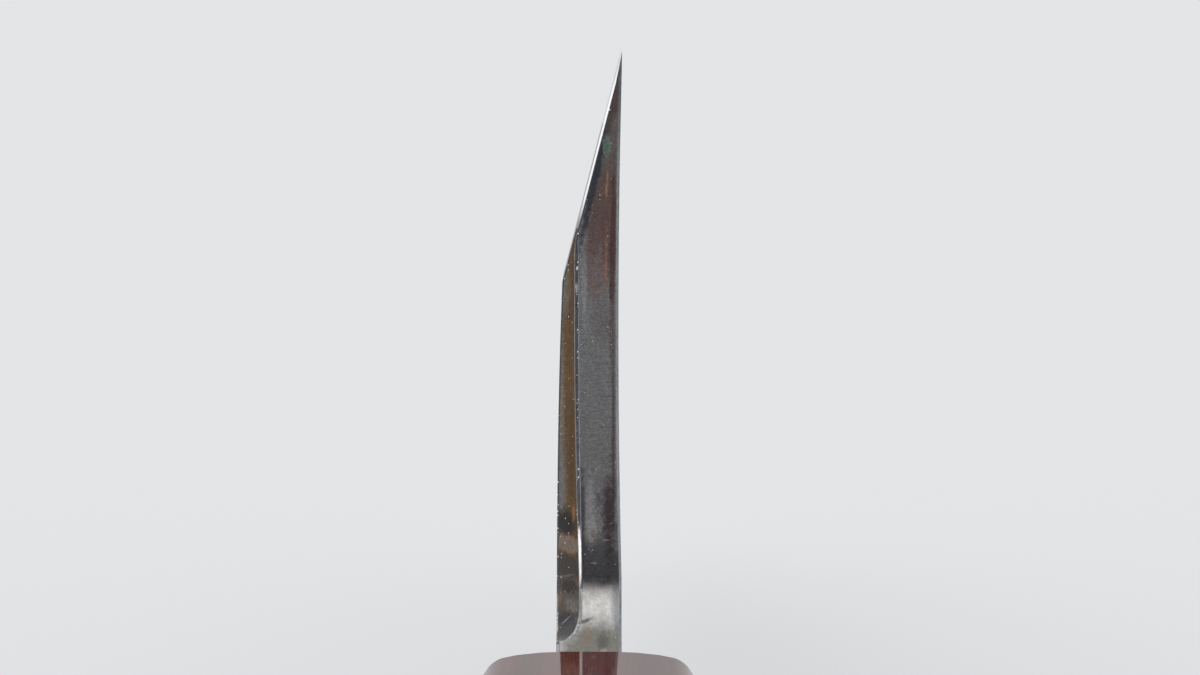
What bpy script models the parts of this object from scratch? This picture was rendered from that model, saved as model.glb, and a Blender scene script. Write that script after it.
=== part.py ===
"""A small deba: a single-bevel fish knife with an octagonal wooden handle.

Units are metres. +Y runs from the butt of the handle to the tip of the blade, +Z from the
spine to the cutting edge, and +X from the bevelled face (omote) to the hollow back (ura).
The knife stands edge up on the spine-side facet of its handle. The origin is the centre of
its bounding box, on the surface that it stands on.
"""

import math

import bmesh
import bpy

# Blade, seen from the side
BLADE_LENGTH = 0.125  # heel to tip
HEEL_HEIGHT = 0.0459  # spine to edge at the heel
SPINE_RISE = 0.0058  # how far the spine climbs towards the edge at the tip
EDGE_SLOPE = 0.085  # fall of the edge at the heel, per metre of blade
SPINE_EASING = 0.0003  # chamfer along both corners of the spine

# Blade, in section
SPINE_THICKNESS = 0.00364
SHINOGI_THICKNESS = 0.00329  # at the ridge where the bevel starts
FLAT_FULLNESS = 4  # how much of that growth comes just below the ridge
BEVEL_HEIGHT = 0.0128  # edge to ridge
TIP_BEVEL_SHARE = 0.86  # most of the blade's height that the bevel takes, near the tip
DISTAL_TAPER = 0.45  # share of the thickness lost from heel to tip
HOLLOW_DEPTH = 0.00018  # hollow ground into the back
BACK_EDGE_RIM = 0.0008  # flat left between the hollow and the edge
BACK_SPINE_RIM = 0.003  # flat left between the hollow and the spine
BACK_HEEL_RUN = 0.030  # length over which the hollow widens from the heel
BACK_TIP_RUN = 0.016  # length over which the hollow runs out before the tip
STEEL_THICKNESS = 0.00105  # hard-steel layer on the back
STEEL_LIFT = 0.0015  # end of the steel layer above the neck fillet, on the heel
STEEL_LEAN = 0.012  # end of the steel layer ahead of the heel, at the spine
WELD_GAP = 0.00002  # seam between the two layers

# Heel, neck and tang
HEEL_FACET = 0.00078  # chamfer on the bevel-side corner of the heel, at the ridge
HEEL_FACET_NECK = 0.00132  # the same chamfer, at the neck
FACET_DEPTH_RATIO = 1.15  # depth of that chamfer along the blade, per unit of width
FACET_FADE_ANGLE = math.radians(14)  # where it starts to narrow, round the neck fillet
FACET_END_ANGLE = math.radians(26)  # where it has run out
CORNER_EASING = 0.00012  # the other corners of the heel
FILLET_RADIUS = 0.0078  # heel to neck
NECK_LENGTH = 0.012  # heel to ferrule
NECK_HEIGHT = 0.0088
NECK_THICKNESS = 0.00376  # flush with the spine on the bevel side
TANG_LENGTH = 0.082  # part inside the handle
TANG_SHOULDER = 0.006  # full neck section inside the ferrule
TANG_END_HEIGHT = 0.005
TANG_END_THICKNESS = 0.0022

# Handle
HANDLE_LENGTH = 0.117
FERRULE_LENGTH = 0.026
FERRULE_WIDTH = 0.0193
FERRULE_HEIGHT = 0.0214
BUTT_WIDTH = 0.0210
BUTT_HEIGHT = 0.0242
CHAMFER_RUN = 0.0046  # width of an octagon chamfer, seen from the front
CHAMFER_FALL = 0.0071  # height of an octagon chamfer, seen from the front
TOP_CROWN = 0.00045  # bulge of the facet towards the edge, between its corners
SIDE_CROWN = 0.0003  # bulge of the two side facets
CROWN_FLATNESS = 3  # how much of a bulging facet stays flat in its middle
HANDLE_CORNER = 0.0013  # radius of the octagon's softened corners
FERRULE_ROUND = 0.0007  # rounding of the ferrule's front rim
BUTT_ROUND = 0.0016
FERRULE_FRONT_WALL = 0.008
DOWEL_RADIUS = 0.0065
DOWEL_IN_BODY = 0.020
MOUTH_MARGIN = 0.0009  # room for filler all round the neck
MOUTH_DEPTH = 0.005
SEAL_RECESS = 0.0002  # filler below the ferrule's front face
FIT_GAP = 0.0003  # running clearance of hidden fits
SEAM_GAP = 0.00002  # closed joint that shows on the outside
SEAL_GAP = 0.00005  # filler to neck and to ferrule

# How finely the forms are stepped
BLADE_STEPS = 34
TIP_STEP = 0.001  # the last section is this far from the point
NECK_ROWS = 4
FLAT_ROWS = 5
BEVEL_ROWS = 5
FILLET_ANGLES = (90, 75, 60, 46, 36, 30, 26, 25.4, 24, 22, 20, 17, 14, 9, 4)  # degrees from the heel
CORNER_STEPS = 4
CROWN_STEPS = 6
ROUND_STEPS = 3
DOWEL_SIDES = 48
CUT_MARGIN = 0.004  # how far a cutter reaches past what it cuts

# Places that follow from the sizes
TOTAL_LENGTH = HANDLE_LENGTH + NECK_LENGTH + BLADE_LENGTH
BUTT_Y = -TOTAL_LENGTH / 2
FERRULE_Y = BUTT_Y + HANDLE_LENGTH
JOINT_Y = FERRULE_Y - FERRULE_LENGTH
HEEL_Y = FERRULE_Y + NECK_LENGTH
TIP_Y = HEEL_Y + BLADE_LENGTH
AXIS_Z = FERRULE_HEIGHT / 2
SPINE_Z = AXIS_Z - NECK_HEIGHT / 2
EDGE_Z = SPINE_Z + HEEL_HEIGHT
FILLET_TOP_Z = SPINE_Z + NECK_HEIGHT + FILLET_RADIUS
BACK_X = SPINE_THICKNESS / 2
FLAT_X = -SPINE_THICKNESS / 2
EDGE_BELLY = (HEEL_HEIGHT - SPINE_RISE - EDGE_SLOPE * BLADE_LENGTH) / BLADE_LENGTH**3
FACET_START = (SHINOGI_THICKNESS - HEEL_FACET) / SHINOGI_THICKNESS
TANG_END_Y = FERRULE_Y - TANG_LENGTH


def mix(first, second, share):
    return first + (second - first) * share


def smooth_step(share):
    share = min(max(share, 0.0), 1.0)
    return share * share * (3 - 2 * share)


def material(name, colour, metallic, roughness):
    made = bpy.data.materials.new(name)
    made.use_nodes = True
    shader = made.node_tree.nodes["Principled BSDF"]
    shader.inputs["Base Color"].default_value = (*colour, 1.0)
    shader.inputs["Metallic"].default_value = metallic
    shader.inputs["Roughness"].default_value = roughness
    return made


def skin(bm, vertices, lines):
    """Faces between neighbouring lines of points, sharing the vertices at equal places."""
    for line, following in zip(lines, lines[1:]):
        for corners in zip(line, line[1:], following[1:], following):
            add_face(bm, vertices, corners)


def add_face(bm, vertices, corners):
    used = []
    for corner in corners:
        key = tuple(round(value, 8) for value in corner)
        if key not in vertices:
            vertices[key] = bm.verts.new(corner)
        if vertices[key] not in used:
            used.append(vertices[key])
    if len(used) > 2:
        bm.faces.new(used)


def finish_mesh(bm, name):
    bmesh.ops.recalc_face_normals(bm, faces=bm.faces)
    mesh = bpy.data.meshes.new(name)
    bm.to_mesh(mesh)
    bm.free()
    mesh.shade_smooth()
    mesh.set_sharp_from_angle(angle=math.radians(28))
    return mesh


def loft(name, rings):
    """Closed skin over closed rings of equally many points, capped at both ends."""
    bm = bmesh.new()
    vertices = {}
    skin(bm, vertices, [ring + ring[:1] for ring in rings])
    add_face(bm, vertices, rings[0])
    add_face(bm, vertices, rings[-1])
    return finish_mesh(bm, name)


def add_object(name, mesh, collection, surface=None):
    made = bpy.data.objects.new(name, mesh)
    collection.objects.link(made)
    if surface:
        mesh.materials.append(surface)
    return made


def add_cutter(name, mesh):
    cutter = add_object(name, mesh, cutters)
    cutter.hide_render = True
    cutter.display_type = "WIRE"
    return cutter


def cut(target, cutter, operation="DIFFERENCE"):
    modifier = target.modifiers.new(f"{operation.lower()}_{cutter.name}", "BOOLEAN")
    modifier.operation = operation
    modifier.object = cutter


# Blade outline and thickness. Here "ahead" is the distance from the heel towards the tip.


def spine_z(ahead):
    return SPINE_Z + SPINE_RISE * (ahead / BLADE_LENGTH) ** 3


def edge_z(ahead):
    return EDGE_Z - EDGE_SLOPE * ahead - EDGE_BELLY * ahead**3


def bevel_height(ahead):
    """The bevel keeps its height until the narrowing blade draws it in near the tip."""
    room = TIP_BEVEL_SHARE * (edge_z(ahead) - spine_z(ahead))
    return (BEVEL_HEIGHT**-4 + room**-4) ** -0.25


def ridge_thickness(ahead):
    tapered = SHINOGI_THICKNESS * (1 - DISTAL_TAPER * (ahead / BLADE_LENGTH) ** 2)
    return min(tapered, bevel_height(ahead) * SHINOGI_THICKNESS / BEVEL_HEIGHT)


def blade_thickness(ahead, z):
    depth = edge_z(ahead) - z
    bevel = bevel_height(ahead)
    if depth < bevel:
        return ridge_thickness(ahead) * depth / bevel
    share = (depth - bevel) / (edge_z(ahead) - spine_z(ahead) - bevel)
    fullness = 1 - (1 - share) ** FLAT_FULLNESS
    return ridge_thickness(ahead) * mix(1, SPINE_THICKNESS / SHINOGI_THICKNESS, fullness)


def neck_line_z(ahead):
    """The row of the blade that starts where the neck fillet meets the heel face."""
    share = (FILLET_TOP_Z - SPINE_Z) / (HEEL_HEIGHT - bevel_height(0))
    return mix(spine_z(ahead), edge_z(ahead) - bevel_height(ahead), share)


def hollow(ahead, z):
    top = edge_z(ahead) - BACK_EDGE_RIM
    widened = smooth_step(ahead / BACK_HEEL_RUN)
    bottom = mix(neck_line_z(ahead), spine_z(ahead) + BACK_SPINE_RIM, widened)
    if not bottom < z < top:
        return 0.0
    across = (2 * z - top - bottom) / (top - bottom)
    run_out = smooth_step((BLADE_LENGTH - ahead) / BACK_TIP_RUN)
    return HOLLOW_DEPTH * (1 - across**2) * run_out


def tang_share(ahead):
    """0 in the neck, 1 at the end of the tang."""
    shoulder = NECK_LENGTH + TANG_SHOULDER
    return max(0.0, (-ahead - shoulder) / (TANG_LENGTH - TANG_SHOULDER))


def neck_flanks(ahead):
    """X of the flat flanks of the neck or tang: the bevel side's, then the back's."""
    share = tang_share(ahead)
    return (
        mix(FLAT_X, -TANG_END_THICKNESS / 2, share),
        mix(FLAT_X + NECK_THICKNESS, TANG_END_THICKNESS / 2, share),
    )


def back_x(ahead, z):
    if ahead >= 0:
        return BACK_X - hollow(ahead, z)
    return mix(BACK_X - hollow(0, z), neck_flanks(ahead)[1], smooth_step(-ahead / FILLET_RADIUS))


def bevel_x(ahead, z):
    if ahead >= 0:
        return BACK_X - blade_thickness(ahead, z)
    return mix(BACK_X - blade_thickness(0, z), neck_flanks(ahead)[0], smooth_step(-ahead / FILLET_RADIUS))


def bottom_z(ahead):
    if ahead >= 0:
        return spine_z(ahead)
    return mix(SPINE_Z, AXIS_Z - TANG_END_HEIGHT / 2, tang_share(ahead))


def spine_easing(ahead):
    on_blade = max(ahead, 0)
    height = neck_line_z(on_blade) - spine_z(on_blade)
    return min(SPINE_EASING, 0.3 * height, 0.2 * blade_thickness(on_blade, spine_z(on_blade)))


def row_heights(ahead):
    """Heights of the blade's rows: spine, neck line, ridge, start of the heel facet, edge."""
    ridge = edge_z(ahead) - bevel_height(ahead)
    facet = edge_z(ahead) - bevel_height(ahead) * FACET_START
    low = spine_z(ahead) + spine_easing(ahead)
    neck = neck_line_z(ahead)
    rows = [mix(low, neck, step / NECK_ROWS) for step in range(NECK_ROWS)]
    rows += [mix(neck, ridge, step / FLAT_ROWS) for step in range(FLAT_ROWS)]
    rows += [ridge]
    rows += [mix(facet, edge_z(ahead), step / BEVEL_ROWS) for step in range(BEVEL_ROWS + 1)]
    return rows


def facet_width(z):
    """Width of the chamfer on the bevel-side corner of the heel face at a height."""
    thickness = blade_thickness(0, z)
    ridge = EDGE_Z - bevel_height(0)
    if z >= ridge:
        cut_off = thickness - (SHINOGI_THICKNESS - HEEL_FACET)
    else:
        cut_off = mix(HEEL_FACET, HEEL_FACET_NECK, (ridge - z) / (ridge - FILLET_TOP_Z))
    return max(cut_off, min(CORNER_EASING, 0.3 * thickness))


def easing_width(z):
    return min(CORNER_EASING, 0.3 * blade_thickness(0, z))


def blade_point(x, ahead, z):
    return (x, HEEL_Y + ahead, z)


def side_point(side_x, ahead, z):
    return blade_point(side_x(ahead, z), ahead, z)


def spine_line(back_corner, bevel_corner):
    """The line across the spine between the lowest points of the two sides."""
    line = [back_corner]
    for corner, side_x, sign in ((back_corner, back_x, -1), (bevel_corner, bevel_x, 1)):
        ahead = corner[1] - HEEL_Y
        bottom = bottom_z(ahead)
        line.append(blade_point(side_x(ahead, bottom) + sign * spine_easing(ahead), ahead, bottom))
    return line + [bevel_corner]


def heel_lines():
    """Lines across the heel from the neck fillet up to the edge, back side first.

    Each has the back side's corner, the heel face's two borders and the bevel side's corner.
    """
    lines = []
    for row, z in enumerate(row_heights(0)):
        if row < NECK_ROWS:
            continue
        back_in, back_deep = easing_width(z), easing_width(z)
        facet_in = facet_width(z)
        facet_deep = facet_in * FACET_DEPTH_RATIO
        lines.append([
            side_point(back_x, back_deep, row_heights(back_deep)[row]),
            blade_point(back_x(0, z) - back_in, 0, z),
            blade_point(bevel_x(0, z) + facet_in, 0, z),
            side_point(bevel_x, facet_deep, row_heights(facet_deep)[row]),
        ])
    return lines


def neck_corners(angle):
    """The same four points where the fillet has turned by this angle from the heel face.

    The chamfer runs out there in a quarter of an ellipse.
    """
    share = min(max((angle - FACET_FADE_ANGLE) / (FACET_END_ANGLE - FACET_FADE_ANGLE), 0.0), 1.0)
    facet_in = mix(CORNER_EASING, facet_width(FILLET_TOP_Z), math.sqrt(1 - share**2))
    corners = []
    for side_x, inward, sign, deep in (
        (back_x, easing_width(FILLET_TOP_Z), -1, easing_width(FILLET_TOP_Z)),
        (bevel_x, facet_in, 1, facet_in * FACET_DEPTH_RATIO),
    ):
        places = []
        for radius in (FILLET_RADIUS, FILLET_RADIUS + deep):
            ahead = radius * math.cos(angle) - FILLET_RADIUS
            places.append((ahead, FILLET_TOP_Z - radius * math.sin(angle)))
        border = blade_point(side_x(*places[0]) + sign * inward, *places[0])
        corners.append((side_point(side_x, *places[1]), border))
    return [corners[0][0], corners[0][1], corners[1][1], corners[1][0]]


def tang_corners(ahead):
    """The same four points on the straight neck and the tang."""
    top = mix(SPINE_Z + NECK_HEIGHT, AXIS_Z + TANG_END_HEIGHT / 2, tang_share(ahead))
    back, bevel = back_x(ahead, top), bevel_x(ahead, top)
    return [
        blade_point(back, ahead, top - CORNER_EASING),
        blade_point(back - CORNER_EASING, ahead, top),
        blade_point(bevel + CORNER_EASING, ahead, top),
        blade_point(bevel, ahead, top - CORNER_EASING),
    ]


def side_rows(side_x, corner):
    """Points up one flank of the neck or tang, from the spine easing to its top corner."""
    ahead = corner[1] - HEEL_Y
    low = bottom_z(ahead) + spine_easing(ahead)
    heights = [mix(low, corner[2], step / NECK_ROWS) for step in range(NECK_ROWS)]
    return [side_point(side_x, ahead, z) for z in heights] + [corner]


def blade_mesh():
    """The whole forging: tang, neck, fillet, heel and blade, as one closed skin."""
    bm = bmesh.new()
    vertices = {}

    tang_stations = [-NECK_LENGTH - TANG_LENGTH, -NECK_LENGTH - TANG_SHOULDER, -NECK_LENGTH]
    tops = [tang_corners(ahead) for ahead in tang_stations]
    tops += [neck_corners(math.radians(angle)) for angle in FILLET_ANGLES]
    heel = heel_lines()
    tops.append(heel[0])
    backs = [side_rows(back_x, top[0]) for top in tops]
    bevels = [side_rows(bevel_x, top[3]) for top in tops]
    skin(bm, vertices, tops)
    skin(bm, vertices, heel)

    # The heel station carries on the neck's rows with the heel's own corners.
    backs_full = [backs[-1][:-1] + [line[0] for line in heel]]
    bevels_full = [bevels[-1][:-1] + [line[3] for line in heel]]
    first = facet_width(FILLET_TOP_Z) * FACET_DEPTH_RATIO * 1.5
    last = BLADE_LENGTH - TIP_STEP
    for step in range(BLADE_STEPS + 1):
        ahead = mix(first, last, math.sin(step / BLADE_STEPS * math.pi / 2))
        heights = row_heights(ahead)
        backs_full.append([side_point(back_x, ahead, z) for z in heights])
        bevels_full.append([side_point(bevel_x, ahead, z) for z in heights])
    sides = list(zip(backs[:-1] + backs_full, bevels[:-1] + bevels_full))
    spines = [spine_line(back[0], bevel[0]) for back, bevel in sides]
    for lines in (backs, bevels, backs_full, bevels_full, spines):
        skin(bm, vertices, lines)

    tang_end = backs[0] + tops[0][1:3] + bevels[0][::-1] + spines[0][2:0:-1]
    add_face(bm, vertices, tang_end)
    tip = blade_point(BACK_X, BLADE_LENGTH, edge_z(BLADE_LENGTH))
    last_ring = backs_full[-1] + bevels_full[-1][-2::-1] + spines[-1][2:0:-1]
    for corner, following in zip(last_ring, last_ring[1:] + last_ring[:1]):
        add_face(bm, vertices, (corner, following, tip))
    return finish_mesh(bm, "blade_blank")


def steel_zone(name, gap):
    """The space of the hard-steel layer: ahead of a leaning line, on the back of the blade."""
    lean = STEEL_LEAN / (HEEL_HEIGHT - (EDGE_Z - FILLET_TOP_Z) + STEEL_LIFT)
    crossing = FILLET_TOP_Z + STEEL_LIFT
    low, high = SPINE_Z - CUT_MARGIN, crossing + CUT_MARGIN
    outline = [
        (HEEL_Y + gap + (crossing - low) * lean, low),
        (HEEL_Y + gap + (crossing - high) * lean, high),
        (HEEL_Y + gap + (crossing - high) * lean, EDGE_Z + CUT_MARGIN),
        (TIP_Y + CUT_MARGIN, EDGE_Z + CUT_MARGIN),
        (TIP_Y + CUT_MARGIN, low),
    ]
    weld_x = BACK_X - STEEL_THICKNESS + gap
    rings = [[(x, y, z) for y, z in outline] for x in (weld_x, BACK_X + CUT_MARGIN)]
    return add_cutter(name, loft(name, rings))


def octagon(width, height):
    """Corners of the handle's section on z = 0, anticlockwise from the bottom right.

    Each comes with the bulge of the facet that follows it.
    """
    half = width / 2
    flat_half = half - CHAMFER_RUN
    side = half - SIDE_CROWN
    top = height - TOP_CROWN
    return [
        (flat_half, 0, 0),
        (side, CHAMFER_FALL, SIDE_CROWN),
        (side, height - CHAMFER_FALL, 0),
        (flat_half, top, TOP_CROWN),
        (-flat_half, top, 0),
        (-side, height - CHAMFER_FALL, SIDE_CROWN),
        (-side, CHAMFER_FALL, 0),
        (-flat_half, 0, 0),
    ]


def crowned(corners):
    """The outline through these corners, as points with a mark on the corners.

    A crowned facet is flat in its middle and falls away towards its corners.
    """
    outline = []
    for index, (x, z, bulge) in enumerate(corners):
        outline.append((x, z, True))
        next_x, next_z, _ = corners[(index + 1) % len(corners)]
        run, rise = next_x - x, next_z - z
        length = math.hypot(run, rise)
        for step in range(1, CROWN_STEPS if bulge else 1):
            share = step / CROWN_STEPS
            out = bulge * (1 - abs(2 * share - 1) ** CROWN_FLATNESS) / length
            outline.append((x + run * share + rise * out, z + rise * share - run * out, False))
    return outline


def round_corners(outline, radius, steps):
    """The outline with each marked corner replaced by an arc."""
    rounded = []
    for index, (x, z, is_corner) in enumerate(outline):
        if not is_corner:
            rounded.append((x, z))
            continue
        before, after = outline[index - 1], outline[(index + 1) % len(outline)]
        into = math.atan2(z - before[1], x - before[0])
        turn = (math.atan2(after[1] - z, after[0] - x) - into) % math.tau
        reach = radius * math.tan(turn / 2)
        start = (x - reach * math.cos(into), z - reach * math.sin(into))
        centre = (start[0] - radius * math.sin(into), start[1] + radius * math.cos(into))
        for step in range(steps + 1):
            angle = into + turn * step / steps - math.pi / 2
            rounded.append((centre[0] + radius * math.cos(angle), centre[1] + radius * math.sin(angle)))
    return rounded


def handle_ring(y, inset=0.0):
    """The handle's section at a place along it, drawn in all round by the inset."""
    share = (FERRULE_Y - y) / HANDLE_LENGTH
    width = mix(FERRULE_WIDTH, BUTT_WIDTH, share)
    height = mix(FERRULE_HEIGHT, BUTT_HEIGHT, share)
    outline = round_corners(crowned(octagon(width, height)), HANDLE_CORNER, CORNER_STEPS)
    across, up = 1 - 2 * inset / width, 1 - 2 * inset / height
    return [(x * across, y, (z - height / 2) * up + height / 2) for x, z in outline]


def rounded_end(end_y, radius, direction):
    """Rings that round the rim of one end of the handle, outermost last."""
    rings = []
    for step in range(ROUND_STEPS + 1):
        angle = step / ROUND_STEPS * math.pi / 2
        depth = radius * (1 - math.sin(angle))
        rings.append(handle_ring(end_y - direction * depth, radius * (1 - math.cos(angle))))
    return rings


def tang_box(name, start_y, end_y, margin):
    """A tapered box that leaves this margin all round the neck and tang."""
    return loft(name, [tang_ring(y, y, margin) for y in (start_y, FERRULE_Y - TANG_SHOULDER, end_y)])


def neck_box(name, start_y, end_y, margin):
    """A straight box that leaves this margin all round the neck."""
    return loft(name, [tang_ring(y, FERRULE_Y, margin) for y in (start_y, end_y)])


def tang_ring(y, section_y, margin):
    """A rectangle at y, this margin larger all round than the tang's section at section_y."""
    left, right = neck_flanks(section_y - HEEL_Y)
    half = mix(NECK_HEIGHT, TANG_END_HEIGHT, tang_share(section_y - HEEL_Y)) / 2 + margin
    low, high = AXIS_Z - half, AXIS_Z + half
    corners = ((right + margin, low), (right + margin, high), (left - margin, high), (left - margin, low))
    return [(x, y, z) for x, z in corners]


def round_bar(name, start_y, end_y, radius, collection):
    """A cylinder along the handle's axis."""
    bm = bmesh.new()
    bmesh.ops.create_cone(
        bm, cap_ends=True, segments=DOWEL_SIDES, radius1=radius, radius2=radius, depth=end_y - start_y
    )
    mesh = finish_mesh(bm, name)
    bar = add_object(name, mesh, collection)
    bar.rotation_euler = (math.pi / 2, 0, 0)
    bar.location = (0, (start_y + end_y) / 2, AXIS_Z)
    return bar


def build_blade():
    iron = material("soft_iron", (0.36, 0.36, 0.37), 1.0, 0.3)
    steel = material("hard_steel", (0.52, 0.52, 0.53), 1.0, 0.18)
    body = add_object("blade_iron", blade_mesh(), knife, iron)
    cut(body, steel_zone("steel_seat", 0.0))
    edge = add_object("edge_steel", blade_mesh(), knife, steel)
    cut(edge, steel_zone("steel_layer", WELD_GAP), "INTERSECT")


def build_handle():
    polished = material("red_brown_ferrule", (0.09, 0.038, 0.03), 0.0, 0.18)
    wood = material("red_brown_wood", (0.13, 0.05, 0.032), 0.0, 0.38)
    dowel_wood = material("pale_dowel_wood", (0.45, 0.3, 0.16), 0.0, 0.6)
    filler = material("dark_filler", (0.05, 0.03, 0.025), 0.0, 0.5)

    tang_room = add_cutter(
        "tang_room",
        tang_box("tang_room", FERRULE_Y + CUT_MARGIN, TANG_END_Y - FIT_GAP, FIT_GAP),
    )
    mouth = add_cutter(
        "mouth_room",
        neck_box("mouth_room", FERRULE_Y + CUT_MARGIN, FERRULE_Y - MOUTH_DEPTH, MOUTH_MARGIN),
    )
    bore_start = JOINT_Y - DOWEL_IN_BODY
    bore_end = FERRULE_Y - FERRULE_FRONT_WALL
    bore = round_bar("dowel_bore", bore_start, bore_end, DOWEL_RADIUS + FIT_GAP, cutters)
    bore.hide_render = True
    bore.display_type = "WIRE"

    rings = [handle_ring(JOINT_Y + SEAM_GAP)] + rounded_end(FERRULE_Y, FERRULE_ROUND, 1)
    ferrule = add_object("ferrule", loft("ferrule", rings), knife, polished)
    for cutter in (bore, mouth, tang_room):
        cut(ferrule, cutter)

    rings = [handle_ring(JOINT_Y)] + rounded_end(BUTT_Y, BUTT_ROUND, -1)
    body = add_object("handle_body", loft("handle_body", rings), knife, wood)
    for cutter in (bore, tang_room):
        cut(body, cutter)

    dowel = round_bar("tang_dowel", bore_start + FIT_GAP, bore_end - FIT_GAP, DOWEL_RADIUS, knife)
    dowel.data.materials.append(dowel_wood)
    cut(dowel, tang_room)

    seal_mesh = neck_box(
        "mouth_seal", FERRULE_Y - SEAL_RECESS, FERRULE_Y - MOUTH_DEPTH + SEAL_GAP, MOUTH_MARGIN - SEAL_GAP
    )
    seal = add_object("mouth_seal", seal_mesh, knife, filler)
    neck_room = add_cutter(
        "neck_room",
        neck_box("neck_room", FERRULE_Y + CUT_MARGIN, FERRULE_Y - MOUTH_DEPTH - CUT_MARGIN, SEAL_GAP),
    )
    cut(seal, neck_room)


for existing in list(bpy.data.objects):
    bpy.data.objects.remove(existing, do_unlink=True)

knife = bpy.data.collections.new("deba_knife")
cutters = bpy.data.collections.new("cutters")
for group in (knife, cutters):
    bpy.context.scene.collection.children.link(group)

build_blade()
build_handle()
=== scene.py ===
"""A small deba, seen along its blade from behind the handle, in a plain pale studio.

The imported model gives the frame. Units are metres: +Y runs from the butt of the handle to the
tip of the blade, +Z from the spine to the cutting edge, and +X from the bevelled face (omote)
to the hollow back (ura). The knife stands edge up on the spine-side facet of its handle.
"""

import logging
import math
from collections.abc import Callable, Mapping, Sequence
from dataclasses import dataclass, field
from enum import Enum
from typing import Any

import bmesh
import bpy
from mathutils import Matrix, Vector, noise


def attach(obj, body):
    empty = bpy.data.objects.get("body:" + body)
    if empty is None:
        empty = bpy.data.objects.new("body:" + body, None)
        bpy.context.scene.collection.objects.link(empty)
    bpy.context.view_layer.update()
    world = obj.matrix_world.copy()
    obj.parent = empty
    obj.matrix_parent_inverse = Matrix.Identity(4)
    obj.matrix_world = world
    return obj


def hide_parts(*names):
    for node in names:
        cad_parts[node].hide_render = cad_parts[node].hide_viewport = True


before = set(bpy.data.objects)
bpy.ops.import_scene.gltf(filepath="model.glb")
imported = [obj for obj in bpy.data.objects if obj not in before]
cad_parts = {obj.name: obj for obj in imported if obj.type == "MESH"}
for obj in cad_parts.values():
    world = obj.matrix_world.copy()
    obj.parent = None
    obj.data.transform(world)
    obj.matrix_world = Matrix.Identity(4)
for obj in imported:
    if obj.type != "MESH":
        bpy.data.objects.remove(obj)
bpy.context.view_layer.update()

log = logging.getLogger("deba")

MM = 0.001
CREASE_ANGLE = math.radians(10.5)  # sharper lines than this stay crisp
SOFT_CREASE = math.radians(35)  # the same on the handle
CUT_MARGIN = 0.004  # how far a cutter reaches past what it cuts
WELD_DISTANCE = 1e-7  # vertices closer than this are one
CUT_WELD = 1e-6  # the same after a cut, which leaves slivers
FACING = 0.9  # a face looks along an axis if its normal has more than this along it
ASIDE = 0.1  # and past it if it has less than this
WAVE_TURN = 20  # radians of a wave texture per unit of its scale

Point = Vector
Socket = bpy.types.NodeSocket
Colour = tuple[float, float, float, float]


def linear(code: str) -> Colour:
    """Turns an sRGB hex colour into the linear one that a shader reads.

    Args:
        code: The colour, such as "#8a5a40".

    Returns:
        Red, green, blue and an alpha of 1.
    """
    levels = (int(code[start:start + 2], 16) / 255 for start in (1, 3, 5))
    red, green, blue = (
        level / 12.92 if level <= 0.04045 else ((level + 0.055) / 1.055) ** 2.4 for level in levels
    )
    return red, green, blue, 1.0


def add_node(
    tree: bpy.types.NodeTree, kind: str, inputs: Mapping[Any, Any] | None = None, **settings: Any
) -> bpy.types.Node:
    """Adds one node with its settings, values and links.

    Args:
        tree: The material's or the world's node tree.
        kind: The node's type, such as "ShaderNodeTexNoise".
        inputs: For each input, by name or number, a value or the socket that feeds it.
        settings: The node's own properties.

    Returns:
        The new node.
    """
    node = tree.nodes.new(kind)
    for name, value in settings.items():
        setattr(node, name, value)
    for key, value in (inputs or {}).items():
        if isinstance(value, bpy.types.NodeSocket):
            tree.links.new(value, node.inputs[key])
        else:
            node.inputs[key].default_value = value
    return node


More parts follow.
